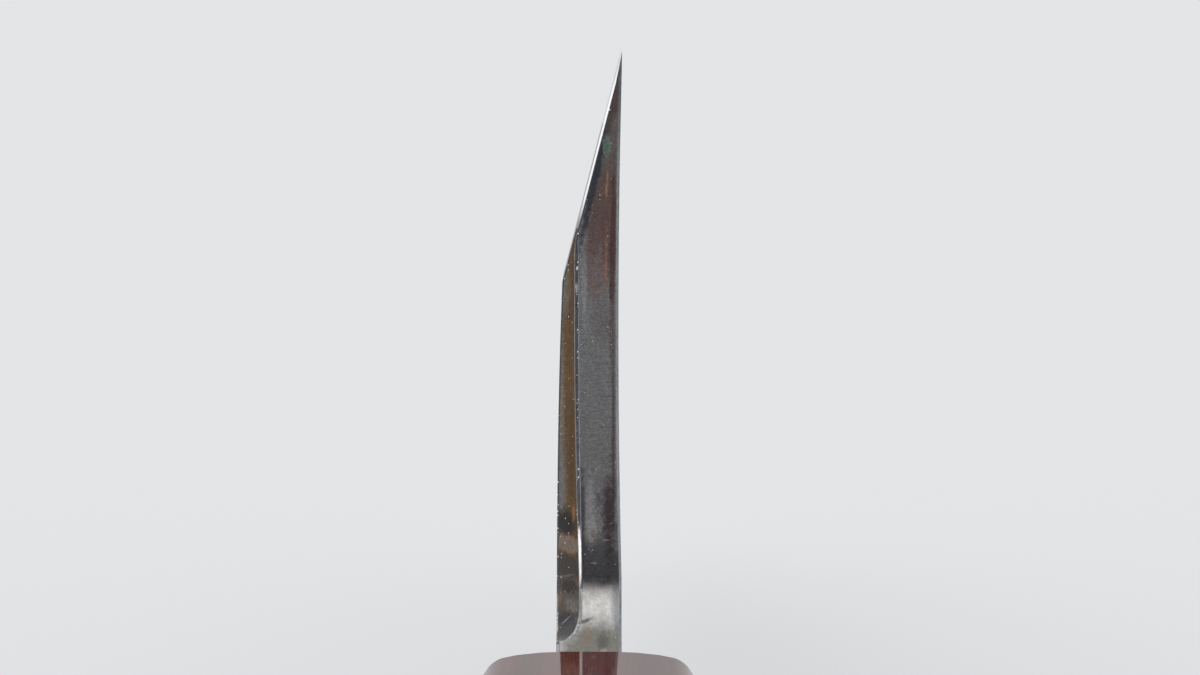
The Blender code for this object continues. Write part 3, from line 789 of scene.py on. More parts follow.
@dataclass
class Forging:
    """The blade, neck and tang: an iron body with a hard-steel layer welded to its back."""

    form: BladeForm = field(default_factory=BladeForm)
    blade_steps: int = 110
    tip_step: float = 0.001  # the last section is this far from the point
    neck_rows: int = 8
    flat_rows: int = 16
    ridge_rows: int = 4
    bevel_rows: int = 14
    fillet_steps: int = 90
    tang_steps: int = 6
    edge_strip: float = 0.0004  # bright strip of the last honing
    strip_limit: float = 0.1  # most of the bevel that the strip takes
    rim_rows: int = 2  # rows of the back's rim along the spine
    arris_radius: tuple[float, float] = (0.00016, 0.00013)  # at the ridge and at the neck
    border_line: float = 0.00013
    facet_crown: float = 0.012  # bulge of the hand-ground chamfer, per unit of its width
    weld_wander: float = 0.00006  # how far the forge weld strays from its plane
    # up to the back's border, round it, over the face, round the arris and down the chamfer
    across_steps: tuple[int, int, int, int, int] = (3, 3, 14, 6, 7)
    spine_steps: tuple[int, int] = (4, 6)  # round each corner, and between them
    weld_steps: tuple[int, int, int] = (12, 40, 90)  # up the leaning end, above it and along
    weld_wave: float = 0.011
    weld_seed: float = 3.7
    weld_noise: tuple[float, float, int] = (1.0, 2.0, 3)  # fading, gap and count of its octaves
    border_softness: float = 0.00004  # rounding of the border with the back
    soft_limits: tuple[float, float] = (0.4, 0.2)  # most of easing and face that it takes
    arris_limits: tuple[float, float] = (0.35, 0.3)  # the same of facet and face for the arris
    rim_limit: float = 0.3  # the same of the facet for its outer border
    glint_overlap: int = 2  # columns of the arris that the glint takes
    narrow: float = 1e-6  # a face less wide than this is a line
    first_section: float = 1.5  # place of the blade's first section, in depths of the chamfer
    iron: bpy.types.Object | None = None
    steel: bpy.types.Object | None = None

    def row_heights(self, ahead: float) -> list[float]:
        """Heights of the rows of faces from the spine to the edge."""
        form = self.form
        start = (form.ridge_thickness - form.heel_facet) / form.ridge_thickness
        edge, bevel = form.edge_z(ahead), form.bevel_at(ahead)
        low, neck = form.spine_z(ahead) + form.easing_at(ahead), form.neck_line(ahead)
        ridge, facet = edge - bevel, edge - bevel * start
        strip = edge - min(self.edge_strip, self.strip_limit * bevel)
        rows = spaced(low, neck, self.neck_rows) + spaced(neck, ridge, self.flat_rows)
        rows += spaced(ridge, facet, self.ridge_rows) + spaced(facet, strip, self.bevel_rows)
        return rows + [strip, edge]

    def heel_corners(self, row: int, z: float) -> list[Point]:
        """The heel face's back corner, two borders and bevel-side corner at a row."""
        form, back = self.form, self.form.easing_width(z)
        facet = form.facet_width(z)
        deep = facet * form.facet_depth_ratio
        back_z, bevel_z = self.row_heights(back)[row], self.row_heights(deep)[row]
        return [
            form.at(form.back_x(back, back_z), back, back_z),
            form.at(form.back_x(0, z) - back, 0, z),
            form.at(form.bevel_x(0, z) + facet, 0, z),
            form.at(form.bevel_x(deep, bevel_z), deep, bevel_z),
        ]

    def fillet_corners(self, angle: float) -> list[Point]:
        """The same four points where the fillet has turned by this angle from the heel face.

        The chamfer runs out there in a quarter of an ellipse.
        """
        form = self.form
        share = (angle - form.facet_fade[0]) / (form.facet_fade[1] - form.facet_fade[0])
        left = math.sqrt(1 - min(max(share, 0.0), 1.0) ** 2)
        easing = form.easing_width(form.fillet_top)
        facet = mix(form.corner_easing, form.facet_width(form.fillet_top), left)
        found = []
        for side_x, inward, deep in (
            (form.back_x, -easing, easing), (form.bevel_x, facet, facet * form.facet_depth_ratio)
        ):
            for radius, shift in ((form.fillet_radius, inward), (form.fillet_radius + deep, 0.0)):
                ahead = radius * math.cos(angle) - form.fillet_radius
                z = form.fillet_top - radius * math.sin(angle)
                found.append(form.at(side_x(ahead, z) + shift, ahead, z))
        return [found[1], found[0], found[2], found[3]]

    def tang_corners(self, ahead: float) -> list[Point]:
        """The same four points on the straight neck and the tang."""
        form = self.form
        top = mix(form.spine_base + form.neck_height, form.axis_z + form.tang_end_height / 2,
                  form.tang_share(ahead))
        back, bevel, easing = form.back_x(ahead, top), form.bevel_x(ahead, top), form.corner_easing
        return [
            form.at(back, ahead, top - easing),
            form.at(back - easing, ahead, top),
            form.at(bevel + easing, ahead, top),
            form.at(bevel, ahead, top - easing),
        ]

    def across(self, corners: Sequence[Point], radius: float) -> list[Point]:
        """Points from the back's corner over the heel face and the facet to the bevel side.

        Args:
            corners: The four corners of that line.
            radius: Rounding of the border between heel face and facet.

        Returns:
            The points, equally many on every line.
        """
        first, border, arris, last = corners
        easing, face, facet = border - first, arris - border, last - arris
        if face.length < self.narrow:
            steps = sum(self.across_steps)
            return [first.lerp(last, step / steps) for step in range(steps + 1)]
        of_easing, of_face = self.soft_limits
        soft = min(self.border_softness, of_easing * easing.length, of_face * face.length)
        of_facet, of_face = self.arris_limits
        round_off = min(radius, of_facet * facet.length, of_face * face.length)
        turn_start = border - easing.normalized() * soft
        turn_end = border + face.normalized() * soft
        arris_start = arris - face.normalized() * round_off
        arris_end = arris + facet.normalized() * round_off
        to_border, turn, over, arc, down = self.across_steps
        points = [first.lerp(turn_start, step / to_border) for step in range(to_border)]
        points += bend(turn_start, border, turn_end, turn)[:-1]
        points += [turn_end.lerp(arris_start, step / over) for step in range(over)]
        points += bend(arris_start, arris, arris_end, arc)[:-1]
        rim_share = self.border_line / max((last - arris_end).length, WELD_DISTANCE)
        rim = last.lerp(arris_end, min(self.rim_limit, rim_share))
        outward = Vector((-facet.y, facet.x, 0)).normalized()
        for step in range(down):
            share = step / (down - 1)
            bulge = self.facet_crown * facet.length * 4 * share * (1 - share)
            points.append(arris_end.lerp(rim, share) + outward * bulge)
        return points + [last]

    def arris_at(self, z: float) -> float:
        """Rounding of the border between heel face and chamfer at a height."""
        form = self.form
        ridge = form.edge_base - form.bevel_height
        share = min(max((ridge - z) / (ridge - form.fillet_top), 0), 1)
        return mix(*self.arris_radius, share**2)

    def side_rows(self, side_x: Callable[[float, float], float], corner: Point) -> list[Point]:
        """Points up one flank of the neck or tang, from the spine to its top corner."""
        form, ahead = self.form, corner.y - self.form.heel_y
        low = form.bottom_z(ahead) + form.easing_at(ahead)
        heights = spaced(low, corner.z, self.neck_rows)
        return [form.at(side_x(ahead, z), ahead, z) for z in heights] + [corner]

    def spine_line(self, back: Point, bevel: Point) -> list[Point]:
        """Points across the spine, with both corners rounded over."""
        form, ends = self.form, []
        round_steps, between = self.spine_steps
        for corner, sign in ((back, -1), (bevel, 1)):
            ahead = corner.y - form.heel_y
            bottom = form.bottom_z(ahead)
            side_x = form.back_x if sign < 0 else form.bevel_x
            x = side_x(ahead, bottom)
            under = form.at(x + sign * form.easing_at(ahead), ahead, bottom)
            ends.append(bend(corner, form.at(x, ahead, bottom), under, round_steps))
        bottom_line = [ends[0][-1].lerp(ends[1][-1], step / between) for step in range(1, between)]
        return ends[0] + bottom_line + ends[1][::-1]

    def blank(self, name: str) -> bpy.types.Object:
        """The whole forging as one closed skin."""
        form, bm = self.form, bmesh.new()
        tang_end = -form.neck_length - form.tang_length
        shoulder = -form.neck_length - form.tang_shoulder
        stations = spaced(tang_end, shoulder, self.tang_steps)
        stations += [shoulder, -form.neck_length, mix(-form.neck_length, -form.fillet_radius, 0.5)]
        angles = [math.pi / 2 * (1 - step / self.fillet_steps) for step in range(self.fillet_steps)]
        corners = [self.tang_corners(ahead) for ahead in stations]
        corners += [self.fillet_corners(angle) for angle in angles]
        heights = self.row_heights(0)
        heel = [self.heel_corners(row, heights[row]) for row in range(self.neck_rows, len(heights))]
        corners.append(heel[0])

        tops = [self.across(line, self.arris_radius[1]) for line in corners]
        heel_lines = [self.across(line, self.arris_at(line[1].z)) for line in heel]
        tops[-1] = heel_lines[0]
        backs = [self.side_rows(form.back_x, line[0]) for line in corners]
        bevels = [self.side_rows(form.bevel_x, line[3]) for line in corners]
        back_blade = [backs[-1][:-1] + [line[0] for line in heel]]
        bevel_blade = [bevels[-1][:-1] + [line[3] for line in heel]]
        chamfer_depth = form.facet_width(form.fillet_top) * form.facet_depth_ratio
        first, last = chamfer_depth * self.first_section, form.length - self.tip_step
        for step in range(self.blade_steps + 1):
            ahead = mix(first, last, math.sin(step / self.blade_steps * math.pi / 2))
            rows = self.row_heights(ahead)
            back_blade.append([form.at(form.back_x(ahead, z), ahead, z) for z in rows])
            bevel_blade.append([form.at(form.bevel_x(ahead, z), ahead, z) for z in rows])
        sides = list(zip(backs[:-1] + back_blade, bevels[:-1] + bevel_blade))
        spines = [self.spine_line(back[0], bevel[0]) for back, bevel in sides]

        bare = len(stations) - 2  # lines inside the handle
        faded = bare + 1 + sum(angle > form.facet_fade[1] for angle in angles)
        lay_grid(bm, tops, lambda row, column: self.top_zone(row, column, bare, faded))
        lay_grid(bm, heel_lines, self.heel_zone)
        for flank in (backs, bevels):
            lay_grid(bm, flank, lambda row, _: (Zone.TANG if row < bare else Zone.FLAT).value)
        lay_grid(bm, back_blade, lambda _, column: self.side_zone(column, Zone.BACK, Zone.BACK))
        lay_grid(bm, bevel_blade, lambda _, column: self.side_zone(column, Zone.FLAT, Zone.BEVEL))
        lay_grid(bm, spines, lambda row, _: (Zone.TANG if row < bare else Zone.SPINE).value)
        self.close_ends(bm)
        return finish_mesh(bm, name)

    def top_zone(self, row: int, column: int, bare: int, faded: int) -> int:
        """Slot of a face on the fillet, the neck or the tang's top."""
        if row < bare:
            return Zone.TANG.value
        to_border, turn, over, _, _ = self.across_steps
        if column < to_border + turn:
            return Zone.BORDER.value
        if column < to_border + turn + over:
            return Zone.NECK.value
        if row < faded:
            return Zone.BORDER.value
        return self.chamfer_zone(column - to_border - turn - over)

    def heel_zone(self, row: int, column: int) -> int:
        """Slot of a face on the heel, from its back corner over to the bevel side."""
        to_border, turn, over, _, _ = self.across_steps
        if column < to_border + turn:
            return Zone.BORDER.value
        if column < to_border + turn + over:
            return Zone.HEEL.value
        place = column - to_border - turn - over
        if row < self.flat_rows + self.ridge_rows:
            return self.chamfer_zone(place)
        # the arris's inner columns keep its dark finish, a painted reflection, so that the glint's
        # painted highlight stays a thin line
        rounded = self.across_steps[3] - self.glint_overlap
        return (Zone.ARRIS if place < rounded else Zone.GLINT).value

    def chamfer_zone(self, column: int) -> int:
        """Slot of a face on the chamfer, counted from its rounded border with the heel face."""
        if column in (0, self.across_steps[3] - 1):
            return Zone.BORDER.value
        # the chamfer's outer rim takes the arris's dark finish, a painted reflection
        last = column == self.across_steps[3] + self.across_steps[4] - 1
        return (Zone.ARRIS if column < self.across_steps[3] or last else Zone.FACET).value

    def side_zone(self, column: int, low: Zone, high: Zone) -> int:
        """Slot of a face on one side of the blade."""
        rows = self.neck_rows + self.flat_rows + self.ridge_rows + self.bevel_rows
        if low is Zone.BACK and not self.rim_rows <= column < rows - 1:
            return Zone.BACK_RIM.value
        if column >= rows:
            return Zone.EDGE.value
        return (high if column >= self.neck_rows + self.flat_rows else low).value

    def close_ends(self, bm: bmesh.types.BMesh) -> None:
        """Closes the end of the tang and draws the other end out to the tip."""
        form = self.form
        bmesh.ops.remove_doubles(bm, verts=bm.verts, dist=WELD_DISTANCE)
        open_edges = [edge for edge in bm.edges if edge.is_boundary]
        closed = bmesh.ops.holes_fill(bm, edges=open_edges, sides=0)["faces"]
        for face in closed:
            ahead = face.calc_center_median().y > form.heel_y
            face.material_index = (Zone.SPINE if ahead else Zone.TANG).value
            if ahead:
                for vert in bmesh.ops.poke(bm, faces=[face])["verts"]:
                    vert.co = form.at(form.back_plane, form.length, form.edge_z(form.length))

    def steel_zone(self, name: str) -> bpy.types.Object:
        """The room of the steel layer: on the back, ahead of a leaning line near the heel."""
        form, bm = self.form, bmesh.new()
        lean = form.steel_lean / (form.fillet_top - form.spine_base + form.steel_lift)
        crossing = form.fillet_top + form.steel_lift
        low, high = form.spine_base - CUT_MARGIN, crossing + CUT_MARGIN
        top, end = form.edge_base + CUT_MARGIN, form.heel_y + form.length + CUT_MARGIN
        leaning, above, along = self.weld_steps
        lines = []
        for z in spaced(low, high, leaning) + spaced(high, top, above) + [top]:
            start = form.heel_y + (crossing - min(z, high)) * lean
            line = []
            for step in range(along + 1):
                y = mix(start, end, step / along)
                spot = Vector((y / self.weld_wave, z / self.weld_wave, self.weld_seed))
                stray = noise.fractal(spot, *self.weld_noise)
                x = form.back_plane - form.steel_thickness + self.weld_wander * stray
                line.append(Vector((x, y, z)))
            lines.append(line)
        lay_grid(bm, lines, lambda row, column: Zone.TANG.value)
        out = bmesh.ops.extrude_face_region(bm, geom=bm.faces[:], use_keep_orig=True)["geom"]
        for vert in (part for part in out if isinstance(part, bmesh.types.BMVert)):
            vert.co.x = form.back_plane + CUT_MARGIN
        return finish_mesh(bm, name)

    def build(self) -> None:
        """Makes the iron body and the steel layer."""
        self.iron = self.blank("iron_body")
        carve(self.iron, [self.steel_zone("steel_seat")], split=True)
        self.steel = self.blank("steel_layer")
        carve(self.steel, [self.steel_zone("steel_room")], "INTERSECT", split=True)

    def dress(
        self, iron: Mapping[Zone, bpy.types.Material], steel: Mapping[Zone, bpy.types.Material]
    ) -> None:
        """Gives each zone its finish and puts the pieces in place of their nodes.

        Args:
            iron: The finish of each zone on the iron body.
            steel: The finish of each zone on the steel layer.
        """
        for piece, finishes, node, slot in (
            (self.iron, iron, "blade_iron", "soft_iron"),
            (self.steel, steel, "edge_steel", "hard_steel"),
        ):
            for zone in Zone:
                piece.data.materials.append(finishes[zone])
            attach(piece, "root")
            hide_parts(node)


@dataclass
class Handle:
    """The octagonal handle: a ferrule, the body behind it, the dowel inside and the filler."""

    form: BladeForm = field(default_factory=BladeForm)
    butt_y: float = -0.127
    joint_y: float = -0.036
    ferrule_y: float = -0.010
    front: tuple[float, float] = (0.0193, 0.0214)  # width and height at the ferrule's front
    butt: tuple[float, float] = (0.0210, 0.0242)
    chamfer: tuple[float, float] = (0.0046, 0.0071)  # run and fall
    crowns: tuple[float, float] = (0.00045, 0.0003)  # bulge of the top facet and of the sides
    crown_flatness: float = 3
    crown_steps: int = 8
    corner_radius: float = 0.0013
    corner_steps: int = 8
    rim_steps: int = 7
    front_rim: float = 0.0007
    joint_rim: float = 0.00012
    butt_rim: float = 0.0016
    front_wall: float = 0.008
    dowel_radius: float = 0.0065
    dowel_in_body: float = 0.020
    bore_steps: int = 64
    slot_overlap: float = 0.00001  # by which the two parts of the tang's slot meet
    mouth_margin: float = 0.0009
    mouth_depth: float = 0.005
    seal_recess: float = 0.0002
    seal_gap: float = 0.00005
    meniscus: float = 0.00022
    meniscus_run: float = 0.0002
    fit_gap: float = 0.0003
    seam_gap: float = 0.00002
    ferrule: bpy.types.Object | None = None
    body: bpy.types.Object | None = None
    filler: bpy.types.Object | None = None

    def octagon(self, y: float) -> list[tuple[float, float, float]]:
        """Corners of the section at a place along the handle, from the bottom right.

        Each comes with the bulge of the facet that follows it.
        """
        share = (self.ferrule_y - y) / (self.ferrule_y - self.butt_y)
        half = mix(self.front[0], self.butt[0], share) / 2
        height = mix(self.front[1], self.butt[1], share)
        (run, fall), (crown, bulge) = self.chamfer, self.crowns
        flat, cheek, top = half - run, half - bulge, height - crown
        return [
            (flat, 0.0, 0.0), (cheek, fall, bulge),
            (cheek, height - fall, 0.0), (flat, top, crown),
            (-flat, top, 0.0), (-cheek, height - fall, bulge),
            (-cheek, fall, 0.0), (-flat, 0.0, 0.0),
        ]

    def outline(self, y: float) -> list[tuple[Point, bool]]:
        """The section with its bulging facets, as points with a mark on the corners."""
        corners, points = self.octagon(y), []
        for index, (x, z, bulge) in enumerate(corners):
            points.append((Vector((x, y, z)), True))
            next_x, next_z, _ = corners[(index + 1) % len(corners)]
            run, rise = next_x - x, next_z - z
            for step in range(1, self.crown_steps if bulge else 1):
                share = step / self.crown_steps
                fullness = 1 - abs(2 * share - 1) ** self.crown_flatness
                out = bulge * fullness / math.hypot(run, rise)
                place = Vector((x + run * share + rise * out, y, z + rise * share - run * out))
                points.append((place, False))
        return points

    def prism(
        self, name: str, start_y: float, end_y: float, rims: tuple[float, float]
    ) -> bpy.types.Object:
        """A length of the handle with softened corners and rounded rims.

        Args:
            name: The object's name.
            start_y: Its end towards the butt.
            end_y: Its end towards the blade.
            rims: Rounding of those two ends.

        Returns:
            The length as a closed solid.
        """
        bm = bmesh.new()
        near, far = self.outline(start_y + rims[0]), self.outline(end_y - rims[1])
        ring = bmesh.ops.create_circle(bm, segments=len(near), radius=1)["verts"]
        ring.sort(key=lambda vert: math.atan2(vert.co.y, vert.co.x) % math.tau)
        for vert, (place, _) in zip(ring, near):
            vert.co = place
        bmesh.ops.extrude_edge_only(bm, edges=bm.edges[:])
        long_edges = [
            next(edge for edge in vert.link_edges if edge.other_vert(vert) not in ring)
            for vert in ring
        ]
        for vert, edge, (place, _) in zip(ring, long_edges, far):
            edge.other_vert(vert).co = place
        bmesh.ops.holes_fill(bm, edges=bm.edges[:], sides=0)
        for index, edge in enumerate(long_edges):
            if near[index][1]:
                before = near[index][0] - near[index - 1][0]
                after = near[(index + 1) % len(near)][0] - near[index][0]
                setback = self.corner_radius * math.tan(before.angle(after) / 2)
                bmesh.ops.bevel(
                    bm, geom=[edge], offset=setback, offset_type="OFFSET",
                    segments=self.corner_steps, profile=0.5, affect="EDGES", material=-1,
                )
        bmesh.ops.recalc_face_normals(bm, faces=bm.faces)
        caps = [face for face in bm.faces if abs(face.normal.y) > FACING]
        caps.sort(key=lambda face: face.calc_center_median().y)
        for cap, rim, direction in zip((caps[0], caps[-1]), rims, (-1, 1)):
            self.round_rim(bm, cap, rim, direction)
        return finish_mesh(bm, name, SOFT_CREASE)

    def round_rim(
        self, bm: bmesh.types.BMesh, cap: bmesh.types.BMFace, radius: float, direction: int
    ) -> None:
        """Draws an end face out and in, in the quarter round of its rim.

        Args:
            bm: The mesh.
            cap: Its end face.
            radius: Rounding of the rim.
            direction: 1 where the end face looks towards the blade, -1 towards the butt.
        """
        xs, zs = [[vert.co[axis] for vert in cap.verts] for axis in (0, 2)]
        width, height = max(xs) - min(xs), max(zs) - min(zs)
        to_middle = Matrix.Translation((0.0, 0.0, -(max(zs) + min(zs)) / 2))
        last_in = last_out = 0.0
        for step in range(1, self.rim_steps + 1):
            angle = step / self.rim_steps * math.pi / 2
            inward, outward = radius * (1 - math.cos(angle)), radius * math.sin(angle)
            bmesh.ops.inset_region(bm, faces=[cap], thickness=0.0, use_even_offset=True)
            across, up = [(side - 2 * inward) / (side - 2 * last_in) for side in (width, height)]
            bmesh.ops.scale(bm, vec=(across, 1.0, up), space=to_middle, verts=cap.verts[:])
            move = (0.0, direction * (outward - last_out), 0.0)
            bmesh.ops.translate(bm, vec=move, verts=cap.verts[:])
            last_in, last_out = inward, outward

    def tang_box(
        self, name: str, near_y: float, far_y: float, margin: float, straight: bool = False
    ) -> bpy.types.Object:
        """A box that leaves a margin all round the neck or the tang.

        Args:
            name: The object's name.
            near_y: Its end towards the butt.
            far_y: Its end towards the blade.
            margin: Room that it leaves all round.
            straight: Whether it keeps the neck's section all along.

        Returns:
            The box.
        """
        form, ends = self.form, []
        for y in (near_y, far_y):
            ahead = (self.ferrule_y if straight else y) - form.heel_y
            left, right = form.flanks(ahead)
            half = mix(form.neck_height, form.tang_end_height, form.tang_share(ahead)) / 2 + margin
            low, high = form.axis_z - half, form.axis_z + half
            ends.append((y, left - margin, right + margin, low, high))
        return tapered_box(name, *ends)

    def rooms(self, prefix: str) -> list[bpy.types.Object]:
        """Cutters for the dowel's bore and the tang's slot."""
        bore_start, bore_end = self.joint_y - self.dowel_in_body, self.ferrule_y - self.front_wall
        bm, radius = bmesh.new(), self.dowel_radius + self.fit_gap
        bore = bmesh.ops.create_cone(
            bm, cap_ends=True, segments=self.bore_steps, radius1=radius, radius2=radius,
            depth=bore_end - bore_start,
        )["verts"]
        for vert in bore:
            x, y, z = vert.co
            vert.co = Vector((x, (bore_start + bore_end) / 2 + z, self.form.axis_z + y))
        shoulder_y = self.ferrule_y - self.form.tang_shoulder
        tang_end = self.ferrule_y - self.form.tang_length - self.fit_gap
        past, overlap = self.ferrule_y + CUT_MARGIN, shoulder_y + self.slot_overlap
        return [
            finish_mesh(bm, prefix + "_bore"),
            self.tang_box(prefix + "_shoulder", shoulder_y, past, self.fit_gap, True),
            self.tang_box(prefix + "_slot", tang_end, overlap, self.fit_gap),
        ]

    def build(self) -> None:
        """Makes the ferrule, the body and the filler in the ferrule's mouth."""
        front, joint, rim = self.ferrule_y, self.joint_y, self.joint_rim
        deep, past = front - self.mouth_depth, front + CUT_MARGIN
        seam = joint + self.seam_gap
        self.ferrule = self.prism("ferrule_collar", seam, front, (rim, self.front_rim))
        mouth = self.tang_box("mouth", deep, past, self.mouth_margin, True)
        carve(self.ferrule, [*self.rooms("ferrule"), mouth], crease=SOFT_CREASE)
        self.body = self.prism("handle_grip", self.butt_y, joint, (self.butt_rim, rim))
        carve(self.body, self.rooms("grip"), crease=SOFT_CREASE)
        self.filler = self.tang_box(
            "mouth_filler", deep + self.seal_gap, front - self.seal_recess,
            self.mouth_margin - self.seal_gap, True,
        )
        neck = self.tang_box("neck_room", deep - CUT_MARGIN, past, self.seal_gap, True)
        carve(self.filler, [neck], crease=SOFT_CREASE)
        self.dish_filler()
        for piece in (self.ferrule, self.body):
            weighted = piece.modifiers.new("flat_facets", "WEIGHTED_NORMAL")
            weighted.keep_sharp = True

    def dish_filler(self) -> None:
        """Sinks the filler's front between the neck and the wood, as it shrinks when it sets."""
        bm = bmesh.new()
        bm.from_mesh(self.filler.data)
        front = [face for face in bm.faces if face.normal.y > FACING]
        bmesh.ops.inset_region(bm, faces=front, thickness=self.meniscus_run, depth=0.0)
        sunk = {vert for face in bm.faces if face.normal.y > FACING for vert in face.verts}
        rim = {vert for vert in sunk if any(abs(face.normal.y) < ASIDE for face in vert.link_faces)}
        for vert in sunk - rim:
            vert.co.y -= self.meniscus
        bmesh.ops.recalc_face_normals(bm, faces=bm.faces)
        bm.to_mesh(self.filler.data)
        bm.free()

    def dress(
        self, ferrule: bpy.types.Material, body: bpy.types.Material, dowel: bpy.types.Material,
        filler: bpy.types.Material,
    ) -> None:
        """Gives each piece its material and puts it in place of its node.

        Args:
            ferrule: The ferrule's material.
            body: The body's.
            dowel: The hidden dowel's.
            filler: The filler's.
        """
        for piece, material, node, slot in (
            (self.ferrule, ferrule, "ferrule", "ferrule_wood"),
            (self.body, body, "handle_body", "handle_wood"),
            (self.filler, filler, "mouth_seal", "mouth_filler"),
        ):
            piece.data.materials.clear()
            piece.data.materials.append(material)
            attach(piece, "root")
            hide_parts(node)
        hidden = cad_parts["tang_dowel"]
        hidden.material_slots[0].material = dowel


def square_sheet(name: str, size: float, material: bpy.types.Material) -> bpy.types.Object:
    """A square sheet of one material, in the plane of the floor."""
    bm = bmesh.new()
    bmesh.ops.create_grid(bm, x_segments=1, y_segments=1, size=size / 2)
    sheet = finish_mesh(bm, name)
    sheet.data.materials.append(material)
    return sheet


@dataclass(frozen=True)
class Card:
    """A plain board that only polished surfaces see."""

    name: str
    centre: tuple[float, float, float]
    size: tuple[float, float]
    turn: tuple[float, float, float]  # degrees
    colour: str
    strength: float = 1.0
    fade: float = 0.0  # share of the way to its edges over which it clears away

    def build(self) -> None:
        """Puts the board up."""
        nodes = Nodes(bpy.data.materials.new(self.name))
        surface = nodes.add("Emission", {"Color": linear(self.colour), "Strength": self.strength})
        if self.fade:
            reach = nodes.add("VectorMath", {0: nodes.place()}, "Value", operation="LENGTH")
            edge = 0.5  # the board is 1 wide before it is scaled
            clear = nodes.remap(reach, (edge * (1 - self.fade), edge), curve="SMOOTHSTEP")
            nothing = nodes.add("BsdfTransparent")
            surface = nodes.add("MixShader", {0: clear, 1: surface, 2: nothing})
        board = square_sheet(self.name, 1.0, nodes.finish(surface))
        board.scale = (*self.size, 1.0)
        board.rotation_euler = [math.radians(angle) for angle in self.turn]
        board.location = self.centre
        board.visible_camera = board.visible_diffuse = board.visible_shadow = False


@dataclass
class Studio:
    """Pale floor, soft light and the camera behind the handle."""

    background: str = "#e2e3e5"
    floor_colour: str = "#e7e8ea"
    floor_lit: str = "#e3e4e6"  # the same floor as it looks in the open
    shadow_fading: float = 0.5  # share of a shadow that is cleared from it
    floor_size: float = 12.0
    floor_drop: float = 0.00002  # keeps it clear of the facet that stands on it
    sky: float = 0.8
    sun: float = 0.6
    sun_spread: float = 100.0
    sun_turn: tuple[float, float, float] = (-12.0, -22.0, 0.0)
    target: tuple[float, float, float] = (0.00062, 0.002, 0.0364)
    distance: float = 0.28
    elevation: float = 8.4
    lens: float = 152.4
    sensor: float = 36.0
    clip: tuple[float, float] = (0.01, 50.0)
    cards: tuple[Card, ...] = (
        Card("dark_bench", (0.0, -0.55, 0.002), (0.7, 0.52), (0, 0, 0), "#4a4647"),
        Card("rear_window", (0.0, -1.3, 0.24), (1.0, 0.46), (90, 0, 0), "#ffffff", 1.25),
        Card("left_window", (-0.7, 0.05, 0.34), (0.5, 0.9), (0, 90, 0), "#ffffff", 1.5, 0.6),
        Card("low_window", (-0.085, -0.085, 0.001), (0.05, 0.16), (0, 0, 45), "#ffffff", 1.6),
        Card("left_bench", (-0.85, 0.1, 0.003), (0.8, 1.6), (0, 0, 0), "#6c6d70", 1.0, 0.8),
        Card("right_bench", (0.7, 0.1, 0.003), (0.9, 1.6), (0, 0, 0), "#606164", 1.0, 0.8),
    )

    def build(self) -> None:
        """Sets up floor, background, lamps, boards and camera."""
        self.lay_floor()
        self.light()
        for card in self.cards:
            card.build()
        self.aim_camera()

    def lay_floor(self) -> None:
        """Lays the floor, with faint shadows where the camera sees it."""
        nodes = Nodes(bpy.data.materials.new("pale_seamless_paper"))
        shaded = nodes.add("BsdfDiffuse", {"Color": linear(self.floor_colour)})
        plain = nodes.add("Emission", {"Color": linear(self.floor_lit)})
        seen = nodes.add("LightPath", output="Is Camera Ray")
        share = nodes.calculate("MULTIPLY", seen, self.shadow_fading)
        surface = nodes.add("MixShader", {0: share, 1: shaded, 2: plain})
        floor = square_sheet("floor", self.floor_size, nodes.finish(surface))
        floor.location.z = -self.floor_drop

    def light(self) -> None:
        """Lights the room evenly, and shows the pale background to the camera and in metal."""
        world = bpy.data.worlds.new("pale_room")
        nodes = Nodes(world)
        path = add_node(nodes.tree, "ShaderNodeLightPath").outputs
        seen = nodes.calculate("MAXIMUM", path["Is Camera Ray"], path["Is Glossy Ray"])
        seen = nodes.calculate("MAXIMUM", seen, path["Is Transmission Ray"])
        fill = nodes.add("Background", {"Color": (1, 1, 1, 1), "Strength": self.sky})
        backdrop = nodes.add("Background", {"Color": linear(self.background), "Strength": 1.0})
        both = nodes.add("MixShader", {0: seen, 1: fill, 2: backdrop})
        add_node(nodes.tree, "ShaderNodeOutputWorld", {"Surface": both})
        bpy.context.scene.world = world
        lamp = bpy.data.lights.new("soft_overhead", "SUN")
        lamp.energy = self.sun
        lamp.angle = math.radians(self.sun_spread)
        overhead = bpy.data.objects.new("soft_overhead", lamp)
        overhead.rotation_euler = [math.radians(angle) for angle in self.sun_turn]
        bpy.context.scene.collection.objects.link(overhead)

    def aim_camera(self) -> None:
        """Puts the camera behind the handle, looking along the blade."""
        camera = bpy.data.cameras.new("camera")
        camera.lens, camera.sensor_width = self.lens, self.sensor
        camera.clip_start, camera.clip_end = self.clip
        eye = bpy.data.objects.new("camera", camera)
        rise = math.radians(self.elevation)
        back = Vector((0, -math.cos(rise), math.sin(rise)))
        eye.location = Vector(self.target) + self.distance * back
        eye.rotation_euler = (math.pi / 2 - rise, 0, 0)
        bpy.context.scene.collection.objects.link(eye)
        bpy.context.scene.camera = eye
        bpy.context.scene.view_settings.view_transform = "Standard"


